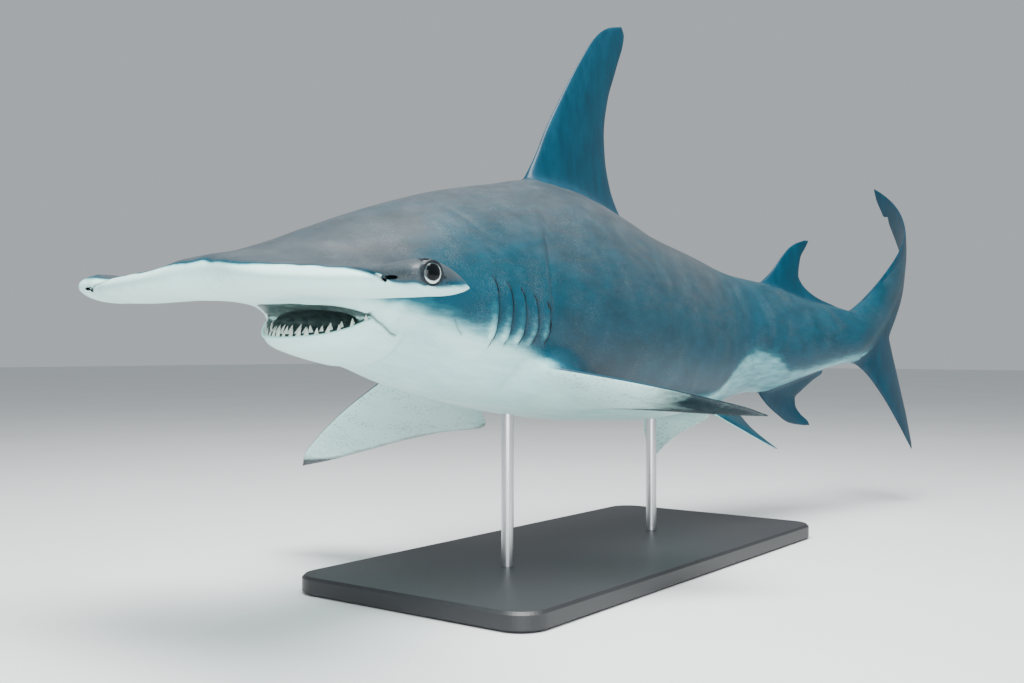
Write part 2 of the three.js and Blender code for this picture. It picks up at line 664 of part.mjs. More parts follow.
// Flesh, part by part.
const trunk = body();
const trunkGrown = body(GAP);
const jawForm = lowerJaw();
const throat = between(jawForm, MOUTH.split, null);
const skullForm = union(between(trunk, null, CUTS.neck), hammer(), throat, upperJaw(), upperBead(),
  lid(-1), lid(1));
const head = largest(cutAway(skullForm, nostril(-1), nostril(1), throatHollow(),
  ball(EYE.radius + GAP, EYE.s, -EYE.out, EYE.z), ball(EYE.radius + GAP, EYE.s, EYE.out, EYE.z)));
const jawFront = union(between(jawForm, null, MOUTH.split), lowerBead(), ...teeth());
const headGrown = between(trunkGrown, null, MOUTH.split + 40);
const jaw = largest(cutAway(between(jawFront, null, MOUTH.split), headGrown, upperJaw(GAP),
  upperBead(GAP), throatHollow()));
const gillCover = flaps(GAP);
const neck = largest(union(between(trunk, CUTS.neck, CUTS.torso), ...flaps()));
const torso = largest(between(trunk, CUTS.torso, CUTS.tail));
const tail = largest(between(trunk, CUTS.tail, CUTS.caudal));
const tailMuscle = between(trunk, CUTS.caudal, null);
const tailMuscleGrown = between(trunkGrown, CUTS.caudal - 20, null);

const upperForm = union(between(upperLobe(), CUTS.caudal, null), tailMuscle);
const upper = largest(cutAway(upperForm, sideOfSplit(-1)));
const lowerForm = between(lowerLobe(), CUTS.caudal, null);
const lower = largest(cutAway(lowerForm, sideOfSplit(1), tailMuscleGrown));

const onBody = (fin) => largest(cutAway(fin, trunkGrown, ...gillCover));

const shark = new THREE.Group();
const stand = new THREE.Group();
const part = new THREE.Group();
part.add(shark, stand);
shark.rotation.set(radians(POSE.roll), radians(POSE.noseUp), 0, "YXZ");
shark.position.z = POSE.height;
shark.updateMatrixWorld(true);

const colour = {
  back: new THREE.MeshStandardMaterial({ color: "#5d6670", roughness: 0.5 }),
  flank: new THREE.MeshStandardMaterial({ color: "#41707f", roughness: 0.5 }),
  fin: new THREE.MeshStandardMaterial({ color: "#35525f", roughness: 0.5 }),
  pale: new THREE.MeshStandardMaterial({ color: "#c9ddd6", roughness: 0.5 }),
  eye: new THREE.MeshStandardMaterial({ color: "#0b0f12", roughness: 0.1 }),
  base: new THREE.MeshStandardMaterial({ color: "#2a2b2d", roughness: 0.5 }),
  rod: new THREE.MeshStandardMaterial({ color: "#b9bcc0", roughness: 0.3, metalness: 1 }),
};

function add(group, name, made, material) {
  const mesh = new THREE.Mesh(geometryOf(made), material);
  mesh.name = name;
  group.add(mesh);
}

add(shark, "head", head, colour.back);
add(shark, "lower_jaw", jaw, colour.pale);
add(shark, "neck", neck, colour.back);
add(shark, "torso", torso, colour.flank);
add(shark, "tail", tail, colour.flank);
add(shark, "first_dorsal_fin", onBody(uprightFin(FIRST_DORSAL, 14, 9)), colour.fin);
add(shark, "second_dorsal_fin", onBody(uprightFin(SECOND_DORSAL, 12, 7)), colour.fin);
add(shark, "anal_fin", onBody(uprightFin(ANAL, 11, 7)), colour.fin);
add(shark, "caudal_fin_upper_lobe", upper, colour.fin);
add(shark, "caudal_fin_lower_lobe", lower, colour.fin);
for (const [name, side] of [["left", -1], ["right", 1]]) {
  const pectoral = onBody(pairedFin(PECTORAL, PECTORAL[name], side, 14, 9));
  const pelvic = onBody(pairedFin(PELVIC, PELVIC[name], side, 11, 7));
  add(shark, `pectoral_fin_${name}`, pectoral, colour.pale);
  add(shark, `pelvic_fin_${name}`, pelvic, colour.pale);
  add(shark, `eye_${name}`, ball(EYE.radius, EYE.s, side * EYE.out, EYE.z), colour.eye);
}

// The stand: a flat base with rounded corners and two rods that end against the belly.
function baseGeometry() {
  const { length, width, height, corner, bevel } = BASE;
  const outline = new THREE.Shape();
  const [x, y] = [length / 2 - bevel, width / 2 - bevel];
  outline.moveTo(x, -y + corner);
  outline.lineTo(x, y - corner);
  outline.absarc(x - corner, y - corner, corner, 0, Math.PI / 2);
  outline.absarc(-x + corner, y - corner, corner, Math.PI / 2, Math.PI);
  outline.absarc(-x + corner, -y + corner, corner, Math.PI, Math.PI * 1.5);
  outline.absarc(x - corner, -y + corner, corner, Math.PI * 1.5, Math.PI * 2);
  const geometry = new THREE.ExtrudeGeometry(outline, { depth: height - 2 * bevel, curveSegments: 6,
    bevelThickness: bevel, bevelSize: bevel, bevelSegments: 1 });
  return geometry.translate(0, 0, bevel);
}

function rodSolid(station) {
  const foot = bend(station, 0, 0).applyMatrix4(shark.matrixWorld);
  const height = POSE.height - BASE.height - GAP;
  const rod = new THREE.CylinderGeometry(RODS.radius, RODS.radius, height, 28);
  rod.rotateX(Math.PI / 2);
  rod.translate(foot.x, foot.y, BASE.height + GAP + height / 2);
  const skin = geometryOf(trunkGrown).applyMatrix4(shark.matrixWorld);
  return solid(rod).subtract(solid(skin)).decompose()
    .reduce((low, piece) => (lowest(piece) < lowest(low) ? piece : low));
}

function lowest(made) {
  const box = new THREE.Box3().setFromBufferAttribute(geometryOf(made).getAttribute("position"));
  return box.min.z;
}

add(stand, "stand_base", solid(baseGeometry()), colour.base);
add(stand, "stand_rod_front", rodSolid(RODS.front), colour.rod);
add(stand, "stand_rod_rear", rodSolid(RODS.rear), colour.rod);

export default part;
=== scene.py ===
# %% [markdown]
# A great hammerhead shark, life size, as a museum would show it: a still model on a plain stand.
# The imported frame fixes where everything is. This notebook makes what the eye sees round it: one
# continuous skin, the eyes, the teeth and the finish of the stand.

import bmesh
import bpy
import numpy as np
from mathutils import Matrix, Vector


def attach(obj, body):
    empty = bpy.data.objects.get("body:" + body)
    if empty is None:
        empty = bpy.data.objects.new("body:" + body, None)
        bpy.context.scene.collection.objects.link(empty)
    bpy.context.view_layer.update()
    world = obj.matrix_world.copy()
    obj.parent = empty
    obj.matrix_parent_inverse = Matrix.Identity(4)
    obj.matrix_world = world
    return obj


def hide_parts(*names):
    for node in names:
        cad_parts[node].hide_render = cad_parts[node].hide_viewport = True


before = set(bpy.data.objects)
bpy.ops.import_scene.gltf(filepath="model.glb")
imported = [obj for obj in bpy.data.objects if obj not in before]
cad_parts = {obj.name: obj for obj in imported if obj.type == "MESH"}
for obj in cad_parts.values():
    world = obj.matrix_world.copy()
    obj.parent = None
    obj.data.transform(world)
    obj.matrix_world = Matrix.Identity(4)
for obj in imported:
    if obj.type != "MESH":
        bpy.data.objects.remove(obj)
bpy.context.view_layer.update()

# %% [markdown]
# The shark is seen level with its eye, from ahead of it and to its left. The camera's axes are
# written out, because a look-at point alone would leave the small roll free. The lens is a little
# longer than normal, which keeps the hammer's two ends at their true sizes.

# %% Camera
STAND_OVER = 0.620  # height of the backbone over the origin, in metres
CAMERA_FROM = np.array([-2.375, -1.522, -0.092 + STAND_OVER])
CAMERA_RIGHT = np.array([0.5950, -0.8037, 0.0013])
CAMERA_FORWARD = np.array([0.8037, 0.5950, 0.0076])
LENS, SENSOR = 39.43, 36.0  # focal length and width of the sensor, in mm


def add_camera():
    """Camera axes: right, then up as right x forward, then backwards."""
    forward = CAMERA_FORWARD / np.linalg.norm(CAMERA_FORWARD)
    up = np.cross(CAMERA_RIGHT, forward)
    up /= np.linalg.norm(up)
    right = np.cross(forward, up)
    data = bpy.data.cameras.new("photo_view")
    data.lens = LENS
    data.sensor_width = SENSOR
    camera = bpy.data.objects.new("photo_view", data)
    turn = Matrix([[*row] for row in np.stack([right, up, -forward], axis=1)])
    camera.matrix_world = Matrix.Translation(CAMERA_FROM) @ turn.to_4x4()
    bpy.context.collection.objects.link(camera)
    bpy.context.scene.camera = camera


add_camera()
print("camera at", [round(float(c), 3) for c in CAMERA_FROM])

# %% [markdown]
# Every form is first shaped on a straight shark, because fins, gills and mouth are easy to place
# there, and only then bent into the swimming curve. A smooth line through a few knots gives each
# outline. The slope at a knot is the harmonic mean of the slopes beside it, so the line never
# swings past a knot, as a plain cubic would.

# %% Smooth lines through knots
def curve(knots, x):
    """Cubic pieces through (x, value) knots with harmonic-mean slopes, flat outside the ends."""
    table = np.asarray(knots, float)
    width = np.diff(table[:, 0])
    rise = np.diff(table[:, 1]) / width
    slope = np.zeros(len(table))
    slope[0], slope[-1] = rise[0], rise[-1]
    before, after = rise[:-1], rise[1:]
    same = before * after > 0
    slope[1:-1][same] = 2 * before[same] * after[same] / (before + after)[same]
    x = np.clip(x, table[0, 0], table[-1, 0])
    i = np.clip(np.searchsorted(table[:, 0], x, side="right") - 1, 0, len(width) - 1)
    t = (x - table[i, 0]) / width[i]
    return ((2 * t**3 - 3 * t**2 + 1) * table[i, 1] + (t**3 - 2 * t**2 + t) * width[i] * slope[i]
            + (3 * t**2 - 2 * t**3) * table[i + 1, 1] + (t**3 - t**2) * width[i] * slope[i + 1])


def soft_curve(knots, x, reach):
    """The mean of the line at nine places up to a reach each side, weighted 1 - 0.85 |offset|."""
    offsets = np.linspace(-1, 1, 9)
    weights = 1 - np.abs(offsets) * 0.85
    x = np.asarray(x, float)
    total = sum(w * curve(knots, x + o * reach) for o, w in zip(offsets, weights))
    return total / weights.sum()


def step(low, high, x):
    """Smooth step from 0 at low to 1 at high."""
    t = np.clip((x - low) / (high - low), 0, 1)
    return t * t * (3 - 2 * t)


def bell(x, width):
    """Bell curve exp(-(x / width)^2)."""
    return np.exp(-((x / width) ** 2))


# %% [markdown]
# The backbone. A swimming shark bends in a flat S: the head swings a little one way while the tail
# sweeps the other. The heading along the backbone is one such line of degrees, added up step by step
# into a path. A point of the straight shark then rides along it: s behind the snout, y to the
# shark's right, z up.

# %% The swimming curve
LENGTH = 3400.0  # mm, snout to tail tip
POSE_STATION = 1190.0
NOSE_UP, ROLL = 2.5, 0.67  # degrees
YAW = [(0, -1.2), (340, -1), (680, 0.3), (1020, 0.7), (1190, 0), (1360, -1.3), (1700, -7.1),
       (2040, -16.5), (2380, -18.3), (2720, -2.3), (3060, 26.9), (LENGTH, 51.8)]
RISE = [(0, 0.7), (680, 0.4), (1360, -0.2), (1700, 0), (2040, 1), (2380, 2.2), (2720, 3),
        (LENGTH, 2.8)]
BONE_STEP = 10.0


def headings(s):
    """Yaw and rise of the backbone, in radians, at each station."""
    inside = np.clip(s, 0, LENGTH)
    return np.radians(curve(YAW, inside)), np.radians(curve(RISE, inside))


def directions(s):
    """Unit vectors back along the bone, to the right of it and up from it."""
    yaw, rise = headings(s)
    back = np.stack([np.cos(yaw) * np.cos(rise), np.sin(yaw) * np.cos(rise), np.sin(rise)], -1)
    right = np.stack([-np.sin(yaw), np.cos(yaw), np.zeros_like(yaw)], -1)
    return back, right, np.cross(back, right)


def bone_path():
    """The path as sums of steps along the heading half way through each step."""
    stations = np.arange(0, LENGTH + 200 + BONE_STEP, BONE_STEP)
    steps = directions(stations[:-1] + BONE_STEP / 2)[0] * BONE_STEP
    path = np.concatenate([np.zeros((1, 3)), np.cumsum(steps, axis=0)])
    start = [np.interp(POSE_STATION, stations, path[:, k]) for k in range(3)]
    return stations, path - start


BONE_STATIONS, BONE_POINTS = bone_path()


def bend(points):
    """Straight points (mm) to world points (m): along the bone, then nose up, then over the stand."""
    s = np.maximum(points[:, 0], 0)
    back, right, up = directions(s)
    at = np.stack([np.interp(s, BONE_STATIONS, BONE_POINTS[:, k]) for k in range(3)], -1)
    bent = at + (points[:, :1] - s[:, None]) * back + points[:, 1:2] * right + points[:, 2:3] * up
    a, b = np.radians(NOSE_UP), np.radians(ROLL)
    pitch = np.array([[np.cos(a), 0, np.sin(a)], [0, 1, 0], [-np.sin(a), 0, np.cos(a)]])
    roll = np.array([[1, 0, 0], [0, np.cos(b), -np.sin(b)], [0, np.sin(b), np.cos(b)]])
    return bent @ (pitch @ roll).T / 1000 + [0, 0, STAND_OVER]


print("end of the backbone at", bend(np.array([[LENGTH, 0, 0]])).round(3))

# %% [markdown]
# Two kinds of closed grid make nearly everything: a tube through rings, for the body, jaw and lips,
# and a plate with two faces, for fins and the hammer. Both are computed as whole arrays.

# %% Grids
def tube_mesh(rings):
    """rings is (rings, around, 3). Quads join the rings and a fan closes each end."""
    count, around = rings.shape[:2]
    points = rings.reshape(-1, 3)
    hubs = np.stack([rings[0].mean(0), rings[-1].mean(0)])
    i, j = np.meshgrid(np.arange(count - 1), np.arange(around), indexing="ij")
    a = i * around + j
    b = i * around + (j + 1) % around
    quads = np.stack([a, a + around, b + around, b], -1).reshape(-1, 4)
    j = np.arange(around)
    last = (count - 1) * around
    first_hub = np.full(around, len(points))
    front = np.stack([first_hub, j, (j + 1) % around], -1)
    rear = np.stack([first_hub + 1, last + (j + 1) % around, last + j], -1)
    return np.concatenate([points, hubs]), quads, np.concatenate([front, rear])


def plate_mesh(faces):
    """faces is (2, along, across, 3): two faces joined round their rim by quads."""
    along, across = faces.shape[1:3]
    points = faces.reshape(-1, 3)
    def at(k, i, j):
        return (k * along + i) * across + j
    i, j = np.meshgrid(np.arange(along - 1), np.arange(across - 1), indexing="ij")
    quads = [np.stack([at(0, i, j), at(0, i + 1, j), at(0, i + 1, j + 1), at(0, i, j + 1)], -1),
             np.stack([at(1, i, j), at(1, i, j + 1), at(1, i + 1, j + 1), at(1, i + 1, j)], -1)]
    i = np.arange(along - 1)
    j = np.arange(across - 1)
    end, rim = along - 1, across - 1
    quads += [np.stack([at(0, i, 0), at(1, i, 0), at(1, i + 1, 0), at(0, i + 1, 0)], -1),
              np.stack([at(0, i, rim), at(0, i + 1, rim), at(1, i + 1, rim), at(1, i, rim)], -1),
              np.stack([at(0, 0, j), at(0, 0, j + 1), at(1, 0, j + 1), at(1, 0, j)], -1),
              np.stack([at(0, end, j), at(1, end, j), at(1, end, j + 1), at(0, end, j + 1)], -1)]
    return points, np.concatenate([q.reshape(-1, 4) for q in quads]), np.zeros((0, 3), int)


def add_object(name, mesh):
    """A Blender object from points, quads and triangles, its doubles merged and faces outwards."""
    points, quads, triangles = mesh
    data = bpy.data.meshes.new(name)
    data.from_pydata(points.tolist(), [], quads.tolist() + triangles.tolist())
    obj = bpy.data.objects.new(name, data)
    bpy.context.collection.objects.link(obj)
    tidy_mesh(obj)
    return obj


def tidy_mesh(obj, distance=1e-3):
    """Merge points that lie together, drop faces with no area, and turn the faces outwards."""
    bm = bmesh.new()
    bm.from_mesh(obj.data)
    bmesh.ops.remove_doubles(bm, verts=bm.verts, dist=distance)
    bmesh.ops.dissolve_degenerate(bm, edges=bm.edges, dist=distance * 0.1)
    bmesh.ops.recalc_face_normals(bm, faces=bm.faces)
    bm.to_mesh(obj.data)
    bm.free()


# %% [markdown]
# The trunk. A shark's section is widest a little below its middle, rounder above and fuller below,
# so each ring is two half superellipses. Stations stand closer at the head and at the gills, where
# detail comes later. The loft runs on into the tail fin as the muscle of its upper lobe.

# %% Trunk
BACK = [(30, 24), (70, 40), (120, 55), (170, 68), (240, 97), (340, 136), (475, 182), (600, 219),
        (768, 258), (910, 287), (1050, 285), (1230, 260), (1364, 233), (1608, 202), (1836, 164),
        (2031, 148), (2215, 110), (2404, 88), (2452, 81), (2520, 112), (2620, 172), (2750, 240),
        (2900, 318), (3050, 398)]
BELLY = [(30, -26), (70, -40), (120, -47), (170, -51), (240, -56), (254, -64), (276, -132),
         (310, -150), (380, -164), (494, -194), (654, -223), (873, -253), (1081, -266), (1362, -268),
         (1500, -261), (1736, -226), (1921, -187), (2022, -180), (2150, -148), (2306, -110),
         (2404, -94), (2456, -84), (2520, -62), (2620, 10), (2750, 106), (2900, 212), (3050, 320)]
HALF = [(30, 60), (70, 90), (120, 108), (170, 117), (235, 132), (300, 150), (400, 172), (480, 184),
        (560, 193), (680, 206), (800, 212), (1050, 214), (1230, 206), (1400, 191), (1608, 168), (1836, 134),
        (2031, 106), (2150, 91), (2300, 71), (2404, 56), (2460, 49), (2520, 39), (2620, 27),
        (2750, 17), (2900, 10), (3050, 6)]
CHEEK = [(150, 0), (235, 20), (262, 58), (285, 66), (325, 46), (400, 16), (480, 0)]
CHEEK_FULL, CHEEK_GONE = -0.55, 0.35  # sines of the angle round the section
BACK_POWER = [(200, 1.95), (274, 1.75), (340, 1.75), (480, 1.9), (560, 1.95)]
BELLY_POWER = [(250, 1.55), (300, 1.6), (420, 2), (520, 2.35)]
WIDEST = 0.47  # share of the height, from the belly, where the section is widest
HEAD_MIDDLE = [(30, -2), (120, 1), (200, 4), (260, 0), (320, -8), (400, -14), (494, -14.7)]
HEAD_END = 494  # behind it the widest line follows from back and belly
SOFT_HEAD, SOFT_BODY, SOFT_TAIL = 5, 25, 9  # mm over which the outlines are averaged
SOFT_CHEEK, SOFT_POWER = 12, 15


def section(s):
    """Back, belly, widest line, half width and the squareness above and below at each station."""
    reach = (SOFT_HEAD + (SOFT_BODY - SOFT_HEAD) * step(330, 480, s)
             - (SOFT_BODY - SOFT_TAIL) * step(2380, 2440, s))
    back = soft_curve(BACK, s, reach)
    belly = soft_curve(BELLY, s, reach)
    middle = np.where(s < HEAD_END, curve(HEAD_MIDDLE, s), belly + (back - belly) * WIDEST)
    above, below = soft_curve(BACK_POWER, s, SOFT_POWER), soft_curve(BELLY_POWER, s, SOFT_POWER)
    return back, belly, middle, soft_curve(HALF, s, reach), above, below


def power(value, exponent):
    return np.sign(value) * np.abs(value) ** exponent


def trunk_points(s, angle):
    """Half superellipses above and below the widest line."""
    back, belly, middle, half, above, below = section(s)
    up = np.sin(angle) > 0
    exponent = np.where(up, 2 / above, 2 / below)
    cheek = soft_curve(CHEEK, s, SOFT_CHEEK) * step(CHEEK_GONE, CHEEK_FULL, np.sin(angle))
    y = (half + cheek) * power(np.cos(angle), exponent)
    z = middle + np.where(up, back - middle, middle - belly) * power(np.sin(angle), exponent)
    return np.stack([s, y, z], -1)


def outside(points):
    """Roughly how far each point stands off the trunk's skin, in mm, negative inside it."""
    back, belly, middle, half, above, below = section(points[..., 0])
    z = points[..., 2]
    up = z > middle
    height = np.where(up, back - middle, middle - belly)
    exponent = np.where(up, above, below)
    share = (np.abs(points[..., 1] / half) ** exponent
             + np.abs((z - middle) / height) ** exponent) ** (1 / exponent)
    return (share - 1) * np.minimum(half, height)


AROUND = 112
RING_BANDS = [(30, 240, 9.0), (240, 300, 4.0), (300, 520, 8.0), (520, 740, 3.6), (740, 2440, 17.0),
              (2440, 3051, 12.0)]  # from, to and pitch, close at the cheeks and the gills
trunk_stations = np.concatenate([np.arange(*band) for band in RING_BANDS])
grid_s, grid_angle = np.meshgrid(trunk_stations, -2 * np.pi * np.arange(AROUND) / AROUND,
                                 indexing="ij")
trunk = add_object("trunk", tube_mesh(trunk_points(grid_s, grid_angle)))
print("trunk faces:", len(trunk.data.polygons))

# %% [markdown]
# The hammer. Seen from above it is a broad wing with a nearly straight front, a shallow dent in the
# middle and one at each nostril. It is a plate whose rows run from the front edge to the rear edge,
# thick just behind the front and thin at the rear, like an aerofoil. Rows crowd towards the ends,
# where the eyes sit.

# %% Hammer
HAMMER_REACH = 450
HAMMER_FRONT = [(0, 14), (60, 3), (130, 0.2), (210, 5), (285, 17), (330, 28), (358, 39), (380, 40),
                (404, 46)]
HAMMER_REAR = [(0, 265), (60, 262), (110, 255), (150, 240), (195, 220), (250, 206), (300, 200),
               (404, 200)]
HAMMER_MIDDLE = [(0, 3), (60, -4), (120, -12), (170, -17), (225, -20), (300, -23), (350, -22),
                 (404, -17)]
HAMMER_HALF = [(0, 48), (60, 43), (120, 34), (170, 28), (225, 27), (300, 25), (350, 24), (390, 26),
               (425, 28)]
REAR_DROOP = 13
TIP_FROM, TIP_MIDDLE = 404, 112
FRONT_SQUARENESS, REAR_SQUARENESS, TIP_BLUNT = 5, 2.3, 2.4
SOFT_EDGE, SOFT_PLATE = 9, 25  # mm over which its edges and its thickness are averaged
ROW_SPREAD = 0.9


def foil(across):
    """Thickness share across a fin, sqrt(4v (1 - v)) (1.22 - 0.52v), which leans forward."""
    return np.sqrt(np.maximum(4 * across * (1 - across), 0)) * (1.22 - 0.52 * across)


def wing(across):
    """Thickness share across the hammer, with a sharper rear edge: 2.38 sqrt(v) (1 - v)^0.8."""
    return 2.38 * np.sqrt(across) * np.maximum(1 - across, 0) ** 0.8


def chord(count):
    """Shares across a fin, crowded at both edges as a cosine crowds them."""
    return (1 - np.cos(np.linspace(0, np.pi, count))) / 2


def hammer_edge(knots, out, squareness):
    """An edge line, closed towards TIP_MIDDLE in a superellipse beyond TIP_FROM."""
    past = np.clip((out - TIP_FROM) / (HAMMER_REACH - TIP_FROM), 0, 1)
    closing = (1 - past**squareness) ** (1 / squareness)
    edge = soft_curve(knots, np.minimum(out, TIP_FROM), SOFT_EDGE)
    return TIP_MIDDLE + (edge - TIP_MIDDLE) * closing


def hammer_faces(along, across):
    """Both faces, between the two edge lines, either side of a drooping middle."""
    turn = np.sin((np.linspace(0, 1, along) - 0.5) * np.pi)
    y, v = np.meshgrid(HAMMER_REACH * power(turn, ROW_SPREAD), chord(across), indexing="ij")
    out = np.abs(y)
    past = np.clip((out - TIP_FROM) / (HAMMER_REACH - TIP_FROM), 0, 1)
    front = hammer_edge(HAMMER_FRONT, out, FRONT_SQUARENESS)
    rear = hammer_edge(HAMMER_REAR, out, REAR_SQUARENESS)
    blunt = (1 - past**TIP_BLUNT) ** (1 / TIP_BLUNT)
    half = soft_curve(HAMMER_HALF, out, SOFT_PLATE) * wing(v) * blunt
    middle = soft_curve(HAMMER_MIDDLE, out, SOFT_PLATE) - REAR_DROOP * (v * out / HAMMER_REACH) ** 2
    s = front + (rear - front) * v
    return np.stack([np.stack([s, y, middle + half], -1), np.stack([s, y, middle - half], -1)])


EYE_RADIUS, EYE_S, EYE_OUT, EYE_Z = 24, 88, 428, -15
EYE_TURN = 10  # degrees the opening faces forward
LID_RADIUS, LID_THICK = 18.4, 2.2
LID_OVER = 16.5  # height of the lid over the eye's centre
DISH_INNER, DISH_WIDTH, DISH_CLEAR, DISH_RISE = 20, 17, 0.4, 30


def eye_centre(side):
    return np.array([EYE_S, side * EYE_OUT, EYE_Z])


def eye_axis(side):
    """Unit vector out of the eye, a little forward of straight sideways."""
    turn = np.radians(EYE_TURN)
    return np.array([-np.sin(turn), side * np.cos(turn), 0])


def eye_dish(points):
    """Keep the skin round each eye under its lid: the limit rises as the square of the distance."""
    for side in (-1, 1):
        off = points - eye_centre(side)
        axis = eye_axis(side)
        height = off @ axis
        away = np.linalg.norm(off - height[..., None] * axis, axis=-1)
        rise = DISH_RISE * (np.maximum(away - DISH_INNER, 0) / DISH_WIDTH) ** 2
        limit = LID_OVER + DISH_CLEAR + rise
        over = np.where(np.sign(points[..., 1]) == side, np.maximum(height - limit, 0), 0)
        points = points - over[..., None] * axis
    return points


hammer = add_object("hammer", plate_mesh(eye_dish(hammer_faces(168, 54))))
print("hammer faces:", len(hammer.data.polygons))

# %% [markdown]
# The mouth hangs open under the head, a U seen from below. The lower jaw is a scoop whose width at
# each station follows that U. Its floor is dished, its underside runs back into the throat, and a
# bead along each jaw makes the lips.

# %% Jaw and lips
UPPER_FRONT, LOWER_FRONT, MOUTH_CORNER, MOUTH_HALF = 150, 184, 268, 143
UPPER_LIP = [(0, -51), (0.5, -53), (0.8, -55), (0.9, -58), (1, -65)]
LOWER_LIP = [(0, -107), (0.2, -106), (0.35, -104), (0.5, -101), (0.6, -98), (0.7, -93), (0.8, -87),
             (0.9, -78), (1, -67)]
CHIN = [(184, -112), (192, -122), (208, -130), (240, -138), (290, -149), (345, -159)]
CHIN_REACH, SOFT_CHIN, JAW_END, JAW_POWER = 30, 10, 345, 2.3
FLOOR_DROP, FLOOR_SHARE = 16, 0.4  # depth of the dished floor, in mm and as a share of the jaw's
JAW_WIDENS, JAW_CLIMBS = 0.3, 0.4  # mm for each mm behind the corners
LEAST_HALF, RIM_DEPTH = 3, 4
RING_SPREAD = 1.8  # power that crowds the rings towards the front
UPPER_BEAD, LOWER_BEAD = 6, 4.2  # lip radii
HOLLOW = {"at": (262, 0, -76), "half": (64, 112, 22), "turn": 0}


def mouth_station(front, q):
    """The U: q runs from -1 at the left corner through 0 at the front to 1 at the right."""
    return front + (MOUTH_CORNER - front) * q * q


def jaw_rings(count, around):
    """Rings at stations crowded to the front, each flat-topped with a dished floor."""
    s = LOWER_FRONT + (JAW_END - LOWER_FRONT) * np.linspace(0, 1, count) ** RING_SPREAD
    angle = -2 * np.pi * np.arange(around) / around
    s, angle = np.meshgrid(s, angle, indexing="ij")
    q = np.minimum(np.sqrt((s - LOWER_FRONT) / (MOUTH_CORNER - LOWER_FRONT)), 1)
    behind = np.maximum(s - MOUTH_CORNER, 0)
    half = np.maximum(MOUTH_HALF * q, LEAST_HALF) + JAW_WIDENS * behind
    lip = curve(LOWER_LIP, q) + JAW_CLIMBS * behind
    reach = np.clip((s - LOWER_FRONT) / CHIN_REACH, 0, 1)
    bottom = (lip - RIM_DEPTH) + (soft_curve(CHIN, s, SOFT_CHIN) - lip + RIM_DEPTH) * np.sqrt(reach)
    y = half * power(np.cos(angle), 2 / JAW_POWER)
    inner = np.maximum(1 - (np.abs(y) / half) ** 4, 0)
    top = lip - np.minimum(FLOOR_DROP, (lip - bottom) * FLOOR_SHARE) * inner
    low = lip + (lip - bottom) * power(np.sin(angle), 2 / JAW_POWER)
    return np.stack([s, y, np.where(np.sin(angle) > 0, top, low)], -1)


def along_lip(front, q):
    """Place on the U and the two parts of its direction there."""
    slope = np.stack([2 * (MOUTH_CORNER - front) * q, np.full_like(q, MOUTH_HALF)], -1)
    slope /= np.linalg.norm(slope, axis=-1, keepdims=True)
    return mouth_station(front, q), MOUTH_HALF * q, slope


def lip_rings(front, heights, radius, lift, inset=0, count=120, around=14):
    """A bead along the U, as thick as sqrt(1 - |q|^3) allows; sideways is square to the U."""
    q = np.linspace(-1, 1, count)
    station, y, slope = along_lip(front, q)
    size = radius * np.sqrt(np.maximum(1 - np.abs(q) ** 3, 0.12))
    angle = 2 * np.pi * np.arange(around) / around
    sideways = size[:, None] * np.cos(angle) + inset
    s = station[:, None] + slope[:, 1:] * sideways
    y = y[:, None] - slope[:, :1] * sideways
    z = curve(heights, np.abs(q))[:, None] + lift + size[:, None] * np.sin(angle)
    return np.stack([s, y, z], -1)


PAD = {"ahead": 4, "behind": 12, "least": 4, "rim": 4, "flare": 20, "arch": 12, "top": -6}


def upper_jaw_rings(count=60, under=48, over=10):
    """Rings along the upper U: an arched underside from rim to rim and a wider top inside the head."""
    start = UPPER_FRONT - PAD["ahead"]
    length = MOUTH_CORNER - start
    spread = np.linspace(0, 1, count) ** RING_SPREAD
    back = np.append(length * spread, length + PAD["behind"])[:, None]
    q = np.minimum(np.sqrt(back / length), 1)
    half = np.maximum(MOUTH_HALF * q, PAD["least"]) + PAD["rim"]
    share = np.cos(np.pi * np.linspace(0, 1, under))
    low_y, low_z = half * share, curve(UPPER_LIP, q) + PAD["arch"] * (1 - share**2)
    high_y = (half + PAD["flare"]) * np.linspace(-1, 1, over)
    y = np.concatenate([low_y, high_y], axis=1)
    z = np.concatenate([low_z, np.full_like(high_y, PAD["top"])], axis=1)
    return np.stack([start + back + 0 * y, y, z], -1)


jaw = add_object("jaw", tube_mesh(jaw_rings(64, 60)))
upper_jaw = add_object("upper_jaw", tube_mesh(upper_jaw_rings()))
upper_lip = add_object("upper_lip", tube_mesh(lip_rings(UPPER_FRONT, UPPER_LIP, UPPER_BEAD, 1)))
lower_lip = add_object("lower_lip", tube_mesh(lip_rings(LOWER_FRONT, LOWER_LIP, LOWER_BEAD, -4)))
print("jaw faces:", len(jaw.data.polygons))

# %% [markdown]
# Upright fins stand on the middle line, so their rows are level and the outline gives a front and a
# rear edge at each height. Each fin swells just above the back, which makes the smooth foot that a
# real fin grows from, and its rear edge keeps a millimetre or two of thickness.

